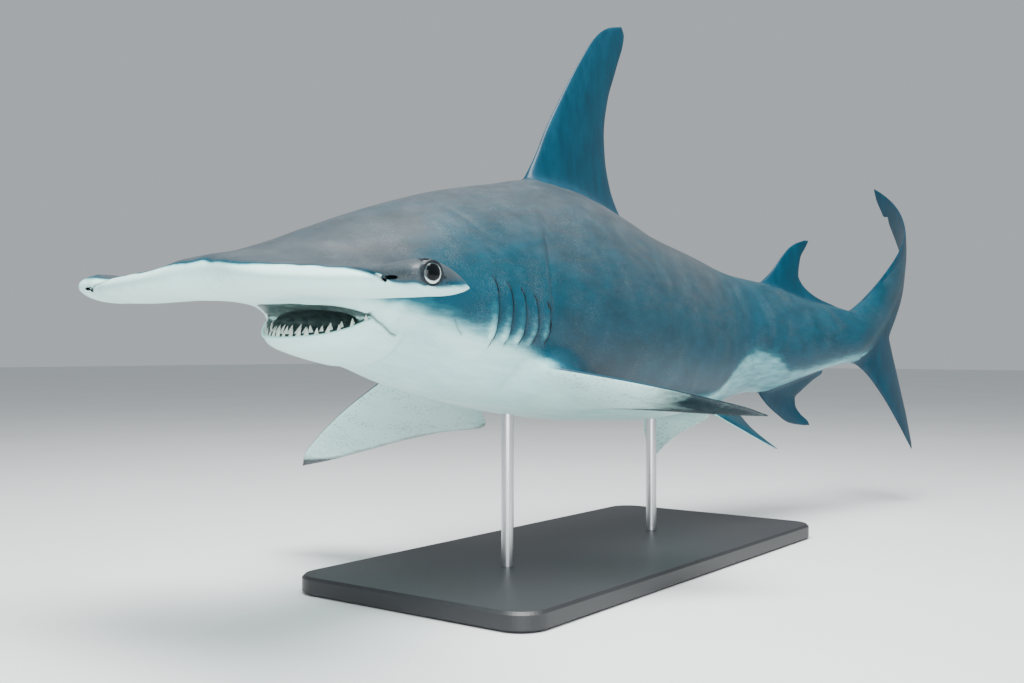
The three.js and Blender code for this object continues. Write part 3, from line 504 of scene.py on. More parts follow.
# %% Upright fins
FIRST_DORSAL = {
    "front": [(205, 862), (240, 872), (286, 898), (363, 945), (421, 976), (510, 1034), (619, 1112),
              (704, 1186), (742, 1245), (756.5, 1296)],
    "rear": [(205, 1300), (222, 1335), (236, 1364), (252, 1338), (270, 1316), (330, 1271),
             (403, 1243), (473, 1234), (554, 1247), (641, 1281), (739, 1314), (756.5, 1302)],
    "half": [(205, 30), (290, 21), (500, 12), (756.5, 3)]}
SECOND_DORSAL = {
    "front": [(66, 1960), (120, 1996), (154, 2031), (187, 2073), (234, 2119), (271, 2163),
              (290, 2205), (297, 2238)],
    "rear": [(66, 2340), (80, 2384), (88, 2404), (98, 2366), (120, 2288), (158, 2221),
             (185, 2203), (240, 2212), (280, 2240), (297, 2251)],
    "half": [(66, 16), (154, 10), (297, 2)]}
ANAL = {
    "front": [(-288, 2252), (-283, 2180), (-254, 2116), (-223, 2066), (-183, 2022), (-150, 1990),
              (-90, 1950)],
    "rear": [(-288, 2262), (-275, 2254), (-252, 2219), (-223, 2194), (-201, 2192), (-180, 2220),
             (-148, 2272), (-116, 2326), (-104, 2310), (-90, 2260)],
    "half": [(-288, 2), (-180, 10), (-90, 16)]}
REAR_EDGE = 1.0  # half the thickness kept at a rear edge, in mm
UPRIGHT_FOOT, UPRIGHT_SOFT = 16, (6, 4)  # reach of the foot; averaging of the front and rear line


def half_thickness(fin, far, across, middle, swell, reach):
    """The fin's own half thickness and its foot, which fades with the height over the trunk."""
    foot = swell * np.exp(-np.maximum(outside(middle), -reach) / reach)
    half = curve(fin["half"], far) * foil(across) + foot * np.sqrt(foil(across))
    return np.where(across > 0, np.maximum(half, REAR_EDGE), half)


def upright_faces(fin, along, across, swell):
    """Two faces at plus and minus the half thickness either side of the middle line."""
    heights = [z for z, _ in fin["front"]]
    z, v = np.meshgrid(np.linspace(heights[0], heights[-1], along), chord(across), indexing="ij")
    front, rear = (soft_curve(fin[k], z, soft) for k, soft in zip(("front", "rear"), UPRIGHT_SOFT))
    s = front + (rear - front) * v
    middle = np.stack([s, np.zeros_like(s), z], -1)
    half = half_thickness(fin, z, v, middle, swell, UPRIGHT_FOOT)
    side = np.stack([np.zeros_like(half), half, np.zeros_like(half)], -1)
    return np.stack([middle + side, middle - side])


first_dorsal = add_object("first_dorsal", plate_mesh(upright_faces(FIRST_DORSAL, 70, 34, 12)))
second_dorsal = add_object("second_dorsal", plate_mesh(upright_faces(SECOND_DORSAL, 44, 28, 6)))
anal = add_object("anal", plate_mesh(upright_faces(ANAL, 40, 28, 6)))
print("upright fins:", [len(o.data.polygons) for o in (first_dorsal, second_dorsal, anal)])

# %% [markdown]
# Paired fins are drawn flat, outwards from the root and backwards from the front edge, and then held
# out by three angles: dihedral lifts the tip, attack tips the rear edge down and sweep turns the fin
# back in its own plane. The left and right fins differ, because the shark is in a slow turn.

# %% Paired fins
PECTORAL = {
    "front": [(-70, 0), (0, 0), (120, 22), (255, 60), (380, 108), (460, 146), (510.6, 188)],
    "rear": [(-70, 250), (0, 300), (22, 345), (44, 357), (70, 344), (130, 305), (200, 278),
             (255, 262), (340, 242), (430, 220), (510.6, 190)],
    "half": [(-70, 34), (0, 24), (80, 17), (255, 10), (510.6, 2)],
    "left": {"root": (702, -190, -143), "sweep": 34.5, "dihedral": 4.7, "attack": 15},
    "right": {"root": (696, 190, -164), "sweep": -2, "dihedral": -22.5, "attack": 19.3}}
PELVIC = {
    "front": [(-60, -6), (0, 0), (80, 42), (150, 92), (190, 126), (212, 152)],
    "rear": [(-60, 190), (0, 216), (24, 246), (42, 254), (62, 236), (110, 192), (160, 168),
             (212, 156)],
    "half": [(-60, 18), (0, 12), (100, 7), (212, 2)],
    "left": {"root": (1645, -82, -226), "sweep": 15.5, "dihedral": -30, "attack": 10},
    "right": {"root": (1643, 108, -222), "sweep": 6.6, "dihedral": -47, "attack": 11}}
PAIRED_FOOT, PAIRED_SOFT = 18, (8, 6)
TIP_SPREAD = 1.15  # power that crowds the rows towards the tip


def fin_directions(held, side):
    """Out along the fin, back across it and up from it, after its three turns."""
    out, back, up = np.array([0.0, side, 0]), np.array([1.0, 0, 0]), np.array([0, 0, 1.0])

    def turn(a, b, degrees):
        c, n = np.cos(np.radians(degrees)), np.sin(np.radians(degrees))
        return a * c + b * n, b * c - a * n

    out, up = turn(out, up, held["dihedral"])
    back, up = turn(back, up, -held["attack"])
    out, back = turn(out, back, held["sweep"])
    return out, back, up


def paired_faces(fin, side_name, along, across, swell):
    """Rows across the fin from inside the body to the tip, two faces along its up direction."""
    side = 1 if side_name == "right" else -1
    out, back, up = fin_directions(fin[side_name], side)
    sunk, reach = fin["front"][0][0], fin["front"][-1][0]
    u, v = np.meshgrid(np.linspace(0, 1, along), chord(across), indexing="ij")
    far = sunk + (reach - sunk) * (1 - (1 - u) ** TIP_SPREAD)
    front, rear = (soft_curve(fin[k], far, soft) for k, soft in zip(("front", "rear"), PAIRED_SOFT))
    behind = front + (rear - front) * v
    middle = np.array(fin[side_name]["root"]) + far[..., None] * out + behind[..., None] * back
    half = half_thickness(fin, far, v, middle, swell, PAIRED_FOOT)[..., None] * up
    return np.stack([middle + half, middle - half])


paired = []
for side_name in ("left", "right"):
    paired.append(add_object(f"pectoral_{side_name}",
                             plate_mesh(paired_faces(PECTORAL, side_name, 64, 38, 8))))
    paired.append(add_object(f"pelvic_{side_name}",
                             plate_mesh(paired_faces(PELVIC, side_name, 40, 28, 5))))
print("paired fins:", [len(o.data.polygons) for o in paired])

# %% [markdown]
# The tail fin is one plate from the tip of its lower lobe to the tip of its upper lobe. Its front
# line runs up the lower lobe, through the end of the trunk and on along the back of the upper lobe;
# its rear line has the fork and the notch under the tip. The lower lobe trails behind in the bend.

# %% Tail fin
TAIL_FRONT = [(0, 2796, -390), (0.08, 2762, -356), (0.18, 2700, -288), (0.28, 2618, -200),
              (0.37, 2530, -122), (0.43, 2462, -84), (0.47, 2420, -50), (0.5, 2400, 0),
              (0.53, 2420, 50), (0.565, 2482, 84), (0.59, 2530, 122), (0.62, 2592, 165),
              (0.66, 2690, 226), (0.74, 2850, 314), (0.81, 3000, 392), (0.9, 3200, 496),
              (0.96, 3330, 556), (1, 3399.6, 585)]
TAIL_REAR = [(0, 2800, -391), (0.06, 2812, -366), (0.16, 2813, -296), (0.28, 2790, -200),
             (0.37, 2764, -122), (0.44, 2738, -60), (0.5, 2716, -8), (0.55, 2722, 4),
             (0.62, 2790, 66), (0.7, 2900, 152), (0.8, 3100, 302), (0.875, 3225, 402),
             (0.9, 3262, 440), (0.915, 3276, 462), (0.93, 3302, 463), (0.96, 3342, 498),
             (0.985, 3378, 540), (1, 3399.6, 583)]
TAIL_HALF = [(0, 1.5), (0.2, 7), (0.42, 14), (0.5, 20), (0.6, 14), (0.7, 9), (0.85, 5.5), (1, 1.5)]
LOWER_LEAN, LOWER_DEPTH, LEAN_POWER = 55, 390, 1.5
SOFT_TAIL_LINE = 0.004  # share of the line over which it is averaged


def tail_faces(along, across):
    """Rows from the front line to the rear line; the lean grows with depth below the backbone."""
    u, v = np.meshgrid(np.linspace(0, 1, along), chord(across), indexing="ij")

    def line(knots):
        return [soft_curve([(k[0], k[axis]) for k in knots], u, SOFT_TAIL_LINE) for axis in (1, 2)]
    (front_s, front_z), (rear_s, rear_z) = line(TAIL_FRONT), line(TAIL_REAR)
    s = front_s + (rear_s - front_s) * v
    z = front_z + (rear_z - front_z) * v
    lean = -LOWER_LEAN * (np.maximum(-z, 0) / LOWER_DEPTH) ** LEAN_POWER
    half = np.maximum(curve(TAIL_HALF, u) * foil(v), np.where(v > 0, REAR_EDGE, 0))
    return np.stack([np.stack([s, lean + half, z], -1), np.stack([s, lean - half, z], -1)])


tail_fin = add_object("tail_fin", plate_mesh(tail_faces(130, 32)))
print("tail fin faces:", len(tail_fin.data.polygons))

# %% [markdown]
# The eyes sit in the hammer's two ends. A low ring makes the round lid, and a ball a little larger
# than the eye cuts its socket, so that the eye sits in the head and not on it. Flat balls cut the
# nostrils and the hollow of the mouth, and thin bowed blades cut the gill slits.

# %% Lids, sockets, nostrils and gill slits
GILL_COUNT, GILL_FIRST, GILL_PITCH = 5, 548, 39
GILL_TOP, GILL_TOP_DROP, GILL_BOTTOM, GILL_BOTTOM_RISE, GILL_BOW, GILL_LEAN = 30, 10, -108, 3, 9, 10
BLADE_OUT, BLADE_DEPTH, BLADE_RAKE, BLADE_THICK, BLADE_EDGE = 12, 26, 9, 1.9, 0.15
SHOULDER = {"at": (222, 126, -6), "half": (88, 46, 30), "turn": 0}
NOSTRIL_SLOT = {"at": (46, 397, -23), "half": (16, 14, 2.8), "turn": 12}
NOSTRIL_END = {"at": (45, 386, -24.5), "half": (11, 4.5, 4.6), "turn": 0}
SOCKET_CLEAR = 0.4


def ring_mesh(centre, axis, radius, thick, count=84, around=16):
    """A torus about a level axis: a small circle carried round a large one."""
    a, b = np.meshgrid(2 * np.pi * np.arange(count) / count,
                       2 * np.pi * np.arange(around) / around, indexing="ij")
    far = radius + thick * np.cos(b)
    level = np.array([abs(axis[1]), -axis[0] * np.sign(axis[1]), 0])
    points = (centre + (far * np.cos(a))[..., None] * level
              + (thick * np.sin(b))[..., None] * axis + (far * np.sin(a))[..., None] * [0, 0, 1.0])
    i, j = np.meshgrid(np.arange(count), np.arange(around), indexing="ij")
    near, next_i, next_j = i * around + j, (i + 1) % count, (j + 1) % around
    quads = np.stack([near, next_i * around + j, next_i * around + next_j, i * around + next_j], -1)
    return points.reshape(-1, 3), quads.reshape(-1, 4), np.zeros((0, 3), int)


def ball_mesh(centre, scale, turn=np.eye(3), count=64, rows=40):
    """An ellipsoid as a tube of rings about the y axis."""
    polar = np.linspace(0.02, np.pi - 0.02, rows)
    a, b = np.meshgrid(polar, 2 * np.pi * np.arange(count) / count, indexing="ij")
    unit = np.stack([np.sin(a) * np.cos(b), np.cos(a), np.sin(a) * np.sin(b)], -1)
    points, quads, fans = tube_mesh(unit)
    return (points * scale) @ turn.T + centre, quads, fans


def turn_about_z(degrees):
    c, n = np.cos(np.radians(degrees)), np.sin(np.radians(degrees))
    return np.array([[c, -n, 0], [n, c, 0], [0, 0, 1]])


def ball_at(form, side, count, rows):
    """An ellipsoid at a place that is given for the right side, mirrored for the left."""
    s, y, z = form["at"]
    return ball_mesh([s, side * y, z], form["half"], turn_about_z(side * form["turn"]), count, rows)


def slit_span(index):
    """Lowest and highest point of a gill slit."""
    return GILL_BOTTOM + GILL_BOTTOM_RISE * index, GILL_TOP - GILL_TOP_DROP * index


def slit_line(index, up):
    """Station of a slit at a share of its height: a half sine bows it and its foot lies further back."""
    return GILL_FIRST + GILL_PITCH * index + GILL_BOW * np.sin(np.pi * up) + GILL_LEAN * (1 - up)


def gill_blade(index, side):
    """A thin upright lens that follows the bowed slit and reaches a little way into the skin."""
    u, v = np.meshgrid(np.linspace(0, 1, 34), np.linspace(0, 1, 5), indexing="ij")
    low, high = slit_span(index)
    z = low + (high - low) * u
    s = slit_line(index, u)
    back, belly, middle, half, above, below = section(s)
    up = z > middle
    share = np.abs(z - middle) / np.where(up, back - middle, middle - belly)
    exponent = np.where(up, above, below)
    width = half * (1 - share**exponent) ** (1 / exponent)
    y = side * (width + BLADE_OUT - BLADE_DEPTH * v)
    thick = BLADE_THICK * np.sqrt(np.maximum(np.sin(np.pi * u), 0)) + BLADE_EDGE
    ahead = s - BLADE_RAKE * v
    return np.stack([np.stack([ahead + thick, y, z], -1), np.stack([ahead - thick, y, z], -1)])


def both_sides(name, make):
    """The same form on the left and then on the right side."""
    return [add_object(f"{name}_{side}", make(side)) for side in (-1, 1)]


def lid_ring(side):
    axis = eye_axis(side)
    return ring_mesh(eye_centre(side) + axis * LID_OVER, axis, LID_RADIUS, LID_THICK)


def socket_ball(side):
    return ball_mesh(eye_centre(side), EYE_RADIUS + SOCKET_CLEAR, count=44, rows=28)


lids = both_sides("lid", lid_ring)
shoulders = both_sides("shoulder", lambda side: ball_at(SHOULDER, side, 64, 40))
sockets = both_sides("socket", socket_ball)
nostrils = (both_sides("nostril", lambda side: ball_at(NOSTRIL_SLOT, side, 40, 24))
            + both_sides("nostril_end", lambda side: ball_at(NOSTRIL_END, side, 32, 20)))
hollow = add_object("hollow", ball_at(HOLLOW, 1, 48, 28))
slits = [add_object(f"slit_{side}_{index}", plate_mesh(gill_blade(index, side)))
         for side in (-1, 1) for index in range(GILL_COUNT)]
cutters = [*sockets, *nostrils, hollow, *slits]
print("cutters:", len(cutters))

# %% [markdown]
# One skin. The forms are closed and overlap, so a Boolean union joins them. Remeshing everything to
# voxels would also join them, but it would eat the thin rear edges of the fins. A whole-number
# attribute on each form's faces says afterwards where one form meets another.

# %% Join the skin
WHOLE_NUMBERS = ("vertices", "value", "edge_index", "vertex_index", "loop_total")


def read(layer, name, width=1):
    """One value list of a mesh as an array."""
    kind = np.int32 if name in WHOLE_NUMBERS else np.float32
    values = np.empty(len(layer) * width, dtype=kind)
    layer.foreach_get(name, values)
    return values.reshape(-1, width) if width > 1 else values


def places(mesh):
    return read(mesh.vertices, "co", 3).astype(float)


def put(mesh, points):
    mesh.vertices.foreach_set("co", points.astype(np.float32).ravel())
    mesh.update()


def normals(mesh):
    return read(mesh.vertex_normals, "vector", 3).astype(float)


def faces_by_edge(mesh):
    return np.bincount(read(mesh.loops, "edge_index"), minlength=len(mesh.edges))


def open_edges(mesh):
    """Edges with an odd number of faces, or with none; a closed skin has neither."""
    faces = faces_by_edge(mesh)
    return np.flatnonzero((faces % 2 == 1) | (faces == 0))


def mark(obj, number):
    """Give every face of a form its number."""
    layer = obj.data.attributes.new("form", "INT", "FACE")
    layer.data.foreach_set("value", np.full(len(obj.data.polygons), number, dtype=np.int32))


def joined(objects):
    """Several separate closed forms as one object."""
    if len(objects) > 1:
        with bpy.context.temp_override(active_object=objects[0], selected_editable_objects=objects):
            bpy.ops.object.join()
    return objects[0]


def combine(base, tool, operation):
    """Apply a Boolean and delete the tool; an open input or an unchanged result is an error."""
    if len(open_edges(base.data)) or len(open_edges(tool.data)):
        raise RuntimeError(f"{operation} was given an open mesh")
    modifier = base.modifiers.new("combine", "BOOLEAN")
    modifier.operation = operation
    modifier.object = tool
    modifier.solver = "MANIFOLD"
    bpy.context.view_layer.update()
    graph = bpy.context.evaluated_depsgraph_get()
    result = bpy.data.meshes.new_from_object(base.evaluated_get(graph))
    base.modifiers.clear()
    old, faces_before = base.data, len(base.data.polygons)
    base.data = result
    bpy.data.meshes.remove(old)
    bpy.data.objects.remove(tool)
    if len(result.polygons) in (0, faces_before) or len(open_edges(result)):
        raise RuntimeError(f"{operation} failed")


TRUNK, HAMMER, JAW, LIP, FIN, TAIL_FIN, LID, SOCKET, NOSTRIL, HOLLOW_WALL, SLIT = range(11)
fins = [first_dorsal, second_dorsal, anal, *paired]
for number, group in ((TRUNK, [trunk, *shoulders]), (HAMMER, [hammer]), (JAW, [jaw, upper_jaw]),
                      (LIP, [upper_lip, lower_lip]), (FIN, fins), (TAIL_FIN, [tail_fin]), (LID, lids),
                      (SOCKET, sockets), (NOSTRIL, nostrils), (HOLLOW_WALL, [hollow]), (SLIT, slits)):
    for form in group:
        mark(form, number)
skin = trunk
skin.name = "skin"
for group in (shoulders, [hammer], [upper_jaw], [jaw], [upper_lip, *lids], [lower_lip], fins, [tail_fin]):
    combine(skin, joined(group), "UNION")
print("skin faces after joining:", len(skin.data.polygons))

# %% [markdown]
# Where two forms meet, the union leaves a crease. A real animal has none, so each vertex near a seam
# moves towards the mean of its neighbours, many times over. The share that it moves fades with the
# distance from the seam: a hand's width where the hammer grows out of the trunk, a finger's at the
# foot of a fin and only a few millimetres at the lips.

# %% Smooth the seams
WELD, WELD_TRIES, KEEP_APART = 0.25, 12, 1.0  # mm to weld, attempts, mm round a pinch left unwelded
SMOOTH_SHARE = 0.6  # share of the way to the neighbours' mean, at a seam


def triangulate(obj):
    """Weld points closer than WELD and cut every face into triangles.

    A weld that would pinch the skin is left out: its points are kept apart and the rest is done again.
    """
    source, at = obj.data, places(obj.data)
    free = np.ones(len(at), dtype=bool)
    for attempt in range(WELD_TRIES):
        cut = bmesh.new()
        cut.from_mesh(source)
        loose = [vert for vert, ok in zip(cut.verts, free) if ok]
        bmesh.ops.triangulate(cut, faces=cut.faces, ngon_method="EAR_CLIP")
        pairs = bmesh.ops.find_doubles(cut, verts=loose, dist=WELD)["targetmap"]
        bmesh.ops.weld_verts(cut, targetmap=pairs)
        made = bpy.data.meshes.new("skin")
        cut.to_mesh(made)
        cut.free()
        pinched = open_edges(made)
        if not len(pinched):
            obj.data = made
            bpy.data.meshes.remove(source)
            print("welded after", attempt, "retries; points kept apart:", int((~free).sum()))
            return
        for end in places(made)[read(made.edges, "vertices", 2)[pinched].ravel()]:
            free &= np.linalg.norm(at - end, axis=1) > KEEP_APART
        bpy.data.meshes.remove(made)
    raise RuntimeError("the skin can't be welded without pinching it")


def refine(obj, fine):
    """Halve the edges whose two ends are both marked, then triangulate again."""
    cut = bmesh.new()
    cut.from_mesh(obj.data)
    cut.verts.ensure_lookup_table()
    edges = [edge for edge in cut.edges if fine[edge.verts[0].index] and fine[edge.verts[1].index]]
    bmesh.ops.subdivide_edges(cut, edges=edges, cuts=1)
    bmesh.ops.triangulate(cut, faces=cut.faces)
    cut.to_mesh(obj.data)
    cut.free()


def forms_at(mesh):
    """Lowest and highest form number among the faces round each vertex."""
    form = read(mesh.attributes["form"].data, "value")
    corner = read(mesh.loops, "vertex_index")
    each = np.repeat(form, read(mesh.polygons, "loop_total"))
    low = np.full(len(mesh.vertices), 99)
    high = np.full(len(mesh.vertices), -1)
    np.minimum.at(low, corner, each)
    np.maximum.at(high, corner, each)
    return low, high


def distance_from(points, pairs, start, reach):
    """Shortest way along the edges from the start vertices, relaxed until the reach is covered."""
    far = np.where(start, 0.0, 1e6)
    length = np.linalg.norm(points[pairs[:, 0]] - points[pairs[:, 1]], axis=1)
    for _ in range(80):
        before = far.copy()
        np.minimum.at(far, pairs[:, 0], before[pairs[:, 1]] + length)
        np.minimum.at(far, pairs[:, 1], before[pairs[:, 0]] + length)
        if np.array_equal(np.minimum(far, reach), np.minimum(before, reach)):
            break
    return far


def relax(points, pairs, share, rounds):
    """Move each point towards the mean of its neighbours by its share."""
    count = len(points)
    valence = np.bincount(pairs.ravel(), minlength=count)
    for _ in range(rounds):
        mean = np.stack([np.bincount(pairs[:, 0], points[pairs[:, 1], k], count)
                         + np.bincount(pairs[:, 1], points[pairs[:, 0], k], count)
                         for k in range(3)], -1) / np.maximum(valence, 1)[:, None]
        points = points + share[:, None] * (mean - points)
    return points


triangulate(skin)
low, high = forms_at(skin.data)
pairs = read(skin.data.edges, "vertices", 2)
points = places(skin.data)
at_fin = (low < FIN) & (high == FIN)
SEAMS = [  # which seams, how far the smoothing reaches in mm, rounds
    ((low == TRUNK) & (high == HAMMER), 95, 220),
    ((low == TRUNK) & (high == TAIL_FIN), 50, 60),
    (at_fin, 20, 24),
    (at_fin & (points[:, 2] < 0) & (points[:, 0] < 1000), 46, 60),  # the pectoral fins
    ((low < JAW) & (high == JAW), 16, 20),
    ((low < LIP) & (high == LIP), 5, 5),
    ((low < LID) & (high == LID), 6, 6)]
for at_seam, reach, rounds in SEAMS:
    far = distance_from(points, pairs, at_seam, reach)
    points = relax(points, pairs, SMOOTH_SHARE * (1 - step(0, reach, far)), rounds)
put(skin.data, points)
print("skin triangles:", len(skin.data.polygons), "seam points:", [int(s[0].sum()) for s in SEAMS])

# %% [markdown]
# Relief. Five gill slits stand on each side of the neck. The skin ahead of a slit is a loose flap
# that stands a little proud, and behind it the skin dips, so that the slit reads as an opening and
# not as a painted line. The points move along their normals.

# %% Relief on the skin
FLAP_LIFT, FLAP_LENGTH, DIP_DEPTH, DIP_LENGTH = 6.3, 21.25, 2.5, 8  # mm, ahead of a slit and behind it
FURROW = [(264, -61), (268, -66), (276, -74), (293, -84), (313, -94), (326, -97)]
FOLD = [(453, -62), (462, -74), (480, -88)]  # on the cheek, as (station, height) like the furrow
NOSE_GROOVE = [(318, -6), (345, -12), (372, -19), (384, -27)]  # as (sideways, height)
FURROW_DEPTH, FOLD_DEPTH, GROOVE_DEPTH, FACE_LINE = 4.5, 3, 2.5, 4.5  # FACE_LINE is their width
FACE_HALF = 100  # the furrow and fold are looked for only further out than this
NOSE_END = 60  # and the groove only ahead of this
FINER = (15, 7)  # widths round those lines inside which the skin is divided, once for each
CREASES = [  # knots of (height, station), width, depth, lowest and highest
    ([(-25, 736), (26, 724), (74, 726), (144, 746), (233, 812)], 9, 4.5, (-20, 210)),
    ([(32, 636), (57, 617), (88, 580), (114, 558), (181, 500)], 13, 2.4, (40, 170)),
    ([(10, 590), (57, 560), (88, 530), (130, 480)], 12, 1.8, (20, 120))]


def slit_station(z, index):
    """Station of a slit at a height, and how far up the slit that height is, from 0 to 1."""
    low, high = slit_span(index)
    u = (z - low) / (high - low)
    return slit_line(index, np.clip(u, 0, 1)), u


def gill_relief(points):
    """Each flap rises towards its slit and the skin just behind it sinks, both as bell curves."""
    rise = np.zeros(len(points))
    for index in range(GILL_COUNT):
        station, u = slit_station(points[:, 2], index)
        ahead = station - points[:, 0]
        flap = np.where(ahead > 0, bell(ahead, FLAP_LENGTH), 0)
        dip = np.where(ahead <= 0, bell(ahead, DIP_LENGTH), 0)
        fading = step(-0.08, 0.22, u) * step(1.08, 0.8, u)
        rise += fading * (FLAP_LIFT * flap - DIP_DEPTH * dip)
    return rise


def fold_relief(points):
    """A furrow along each line s(z), and 2.4 widths ahead of it a swell 0.6 as high."""
    total = np.zeros(len(points))
    for knots, width, depth, (lowest, highest) in CREASES:
        far = points[:, 0] - curve(knots, points[:, 2])
        window = (step(lowest - 20, lowest + 30, points[:, 2])
                  * step(highest + 20, highest - 50, points[:, 2]))
        swell = 0.6 * bell(far + 2.4 * width, 1.8 * width)
        total += depth * window * (swell - bell(far, width))
    return total


def near_path(flat, knots, width):
    """A bell curve of the distance to a bent line, for points in the line's own plane."""
    knots = np.array(knots, float)
    best = np.full(len(flat), np.inf)
    for start, end in zip(knots[:-1], knots[1:]):
        line = end - start
        share = np.clip((flat - start) @ line / (line @ line), 0, 1)
        best = np.minimum(best, np.linalg.norm(flat - start - share[:, None] * line, axis=1))
    return bell(best, width)


def face_lines(points, width):
    """How near each point lies to the furrow, the fold of the cheek and the groove to the nostril."""
    station, out, height = points[:, 0], np.abs(points[:, 1]), points[:, 2]
    from_side, from_front = np.stack([station, height], -1), np.stack([out, height], -1)
    furrow, fold = (near_path(from_side, line, width) * (out > FACE_HALF) for line in (FURROW, FOLD))
    return furrow, fold, near_path(from_front, NOSE_GROOVE, width) * (station < NOSE_END)


def face_relief(points):
    """The furrow behind each mouth corner, the fold of the cheek and the groove to each nostril."""
    furrow, fold, groove = face_lines(points, FACE_LINE)
    return -(FURROW_DEPTH * furrow + FOLD_DEPTH * fold + GROOVE_DEPTH * groove)


for around_line in FINER:
    refine(skin, np.max(face_lines(places(skin.data), around_line)[:2], axis=0) > 0.25)
points = places(skin.data)
low, high = forms_at(skin.data)
rise = (high == TRUNK) * (gill_relief(points) + fold_relief(points)) + (high < FIN) * face_relief(points)
points += normals(skin.data) * rise[:, None]
put(skin.data, points)
combine(skin, joined(cutters), "DIFFERENCE")
triangulate(skin)
print("skin triangles after cutting:", len(skin.data.polygons), "edges by their faces:",
      np.bincount(faces_by_edge(skin.data)), "cut faces by kind:",
      np.bincount(read(skin.data.attributes["form"].data, "value"))[SOCKET:])

# %% [markdown]
# What the finish needs to know is worked out while the shark is still straight. Over the body the
# dark back meets the pale belly in a soft border that dips and rises along the flank, and above it
# the teal of the flank, painted water light in the flank's shade, turns slowly to brown. Under the
# hammer the throat is painted a little darker, as shade. On the hammer the dark side ends in a
# wavering line just over the front edge. Each share is a formula over the points rather than a
# painted map.

# %% Shares of the dark back
BORDER = [(100, -10), (200, -24), (280, -40), (350, -50), (440, -68), (527, -85), (588, -96),
          (650, -108), (720, -130), (800, -160), (950, -182), (1210, -200), (1500, -206), (1640, -190),
          (1720, -128), (1800, -92), (1890, -82), (1980, -94), (2080, -132), (2200, -122), (2330, -98),
          (2440, -74), (2600, -60), (3400, -60)]
BORDER_HALF = [(100, 14), (280, 22), (440, 48), (600, 38), (800, 22), (1210, 24), (1500, 26),
               (1700, 34), (1850, 50), (2100, 50), (2400, 40)]
# Over the border the flank climbs from its painted teal, the water's light in its shade, to the brown back.
BROWN_OVER = [(200, 14), (290, 30), (380, 100), (480, 200), (650, 290), (1000, 400), (1600, 360),
              (2300, 420), (2700, 900)]  # height over the border where the flank is fully brown
# The first least share is painted shade on the cheek and throat under the hammer; the second keeps the
# belly from 1600 to 1760 mm from its palest.
BELLY_SHADE = [(0.10, 260, 420), (0.25, 1600, 1760)]  # least share, growing between two stations
FRONT_LINE = [(-450, 14), (-370, 20), (-260, 21), (-160, 19), (-50, 14.5), (28, 11), (97, 15),
              (150, 21), (198, 24), (271, 21), (310, 16.7), (343, 8.7), (374, -1), (395, -13),
              (450, -21)]
TIP_TURN = (375, 402)  # sideways, where the flat of the hammer turns into its tip
LINE_SOFT, LINE_SOFTER = 7, 6  # half width of the border, and what the tip adds to it
PAIRED_TO, CLEAR_OF_BODY = 1950, (5, 75)  # last station of the paired fins; mm off the trunk
ROOT_CLEAR, REAR_DARK, REAR_BAND = 20, 0.6, (46, 4)
TIP_DARK = {"left": (1, 110, 400), "right": (0.7, 400, 500)}  # share, growing between two reaches


def flank_shade(s, z):
    """0 on the belly to 1 on the back: 0.6 across the border and 0.4 on the way up from the painted teal of
    water light to the brown.
    """
    over, half = z - curve(BORDER, s), curve(BORDER_HALF, s)
    shade = (0.6 * step(-1, 1, over / half)
             + 0.4 * np.clip((over - half) / curve(BROWN_OVER, s), 0, 1) ** 1.3)
    # painted shade under the hammer, and the darker rear belly, as least shares
    return np.maximum(shade, sum(least * step(*stations, s) for least, *stations in BELLY_SHADE))


def hammer_shade(points, normal):
    """Dark over the wavering line and on what faces up behind the front edge."""
    s, y, z = points.T
    out = np.abs(y)
    at_tip = step(*TIP_TURN, out)
    behind = s - hammer_edge(HAMMER_FRONT, np.minimum(out, HAMMER_REACH), FRONT_SQUARENESS)
    rearward = np.clip((s - 30) / 200, 0, 1)
    middle = (soft_curve(HAMMER_MIDDLE, np.minimum(out, TIP_FROM), SOFT_PLATE)
              - REAR_DROOP * (rearward * out / HAMMER_REACH) ** 2)
    waver = 1.6 * np.sin(y / 15 + 2 * np.sin(y / 37))
    line = (middle + curve(FRONT_LINE, -y) * np.maximum(step(60, 10, behind), at_tip)
            + at_tip * 0.2 * np.maximum(s - 66, 0) + waver)
    over = step(-1, 1, (z - line) / (LINE_SOFT + LINE_SOFTER * at_tip))
    top_side = step(0.35, 0.7, normal[:, 2]) * step(15, 45, behind)
    return step(-0.15, 0.25, normal[:, 2] + 0.85 * at_tip) * np.maximum(over, top_side)


def dark_rear(points):
    """Share of the smudge along each pectoral fin's rear edge, read in the fin's own directions."""
    share = np.zeros(len(points))
    for side_name, side in (("left", -1), ("right", 1)):
        fin_out, back, _ = fin_directions(PECTORAL[side_name], side)
        off = points - PECTORAL[side_name]["root"]
        far, behind = off @ fin_out, off @ back
        ahead = curve(PECTORAL["rear"], far) - behind
        here = (np.sign(points[:, 1]) == side) & (far > ROOT_CLEAR)
        most, *reaches = TIP_DARK[side_name]
        smudge = REAR_DARK * step(*REAR_BAND, ahead) + most * step(*reaches, far)
        share = np.where(here, smudge, share)
    return share


points = places(skin.data)
normal, high = normals(skin.data), forms_at(skin.data)[1]
s, y, z = points.T
in_hammer = np.isin(high, (HAMMER, LID, NOSTRIL, SOCKET))
on_fin = np.isin(high, (FIN, TAIL_FIN))
on_paired = (high == FIN) & (z < 0) & (s < PAIRED_TO)
clear = step(*CLEAR_OF_BODY, outside(points))
flank = flank_shade(s, z)
paired_shade = flank + (0.75 * step(-0.3, 0.3, normal[:, 2]) - flank) * clear
shade = np.where(in_hammer, hammer_shade(points, normal), flank)
shade = np.where(on_paired, paired_shade, np.where(on_fin, 1.0, shade))
tip = np.where(on_paired & (s > 600) & (s < 1500), dark_rear(points), 0)  # the pectoral fins only
print("mean share of the dark back:", round(float(shade.mean()), 3))
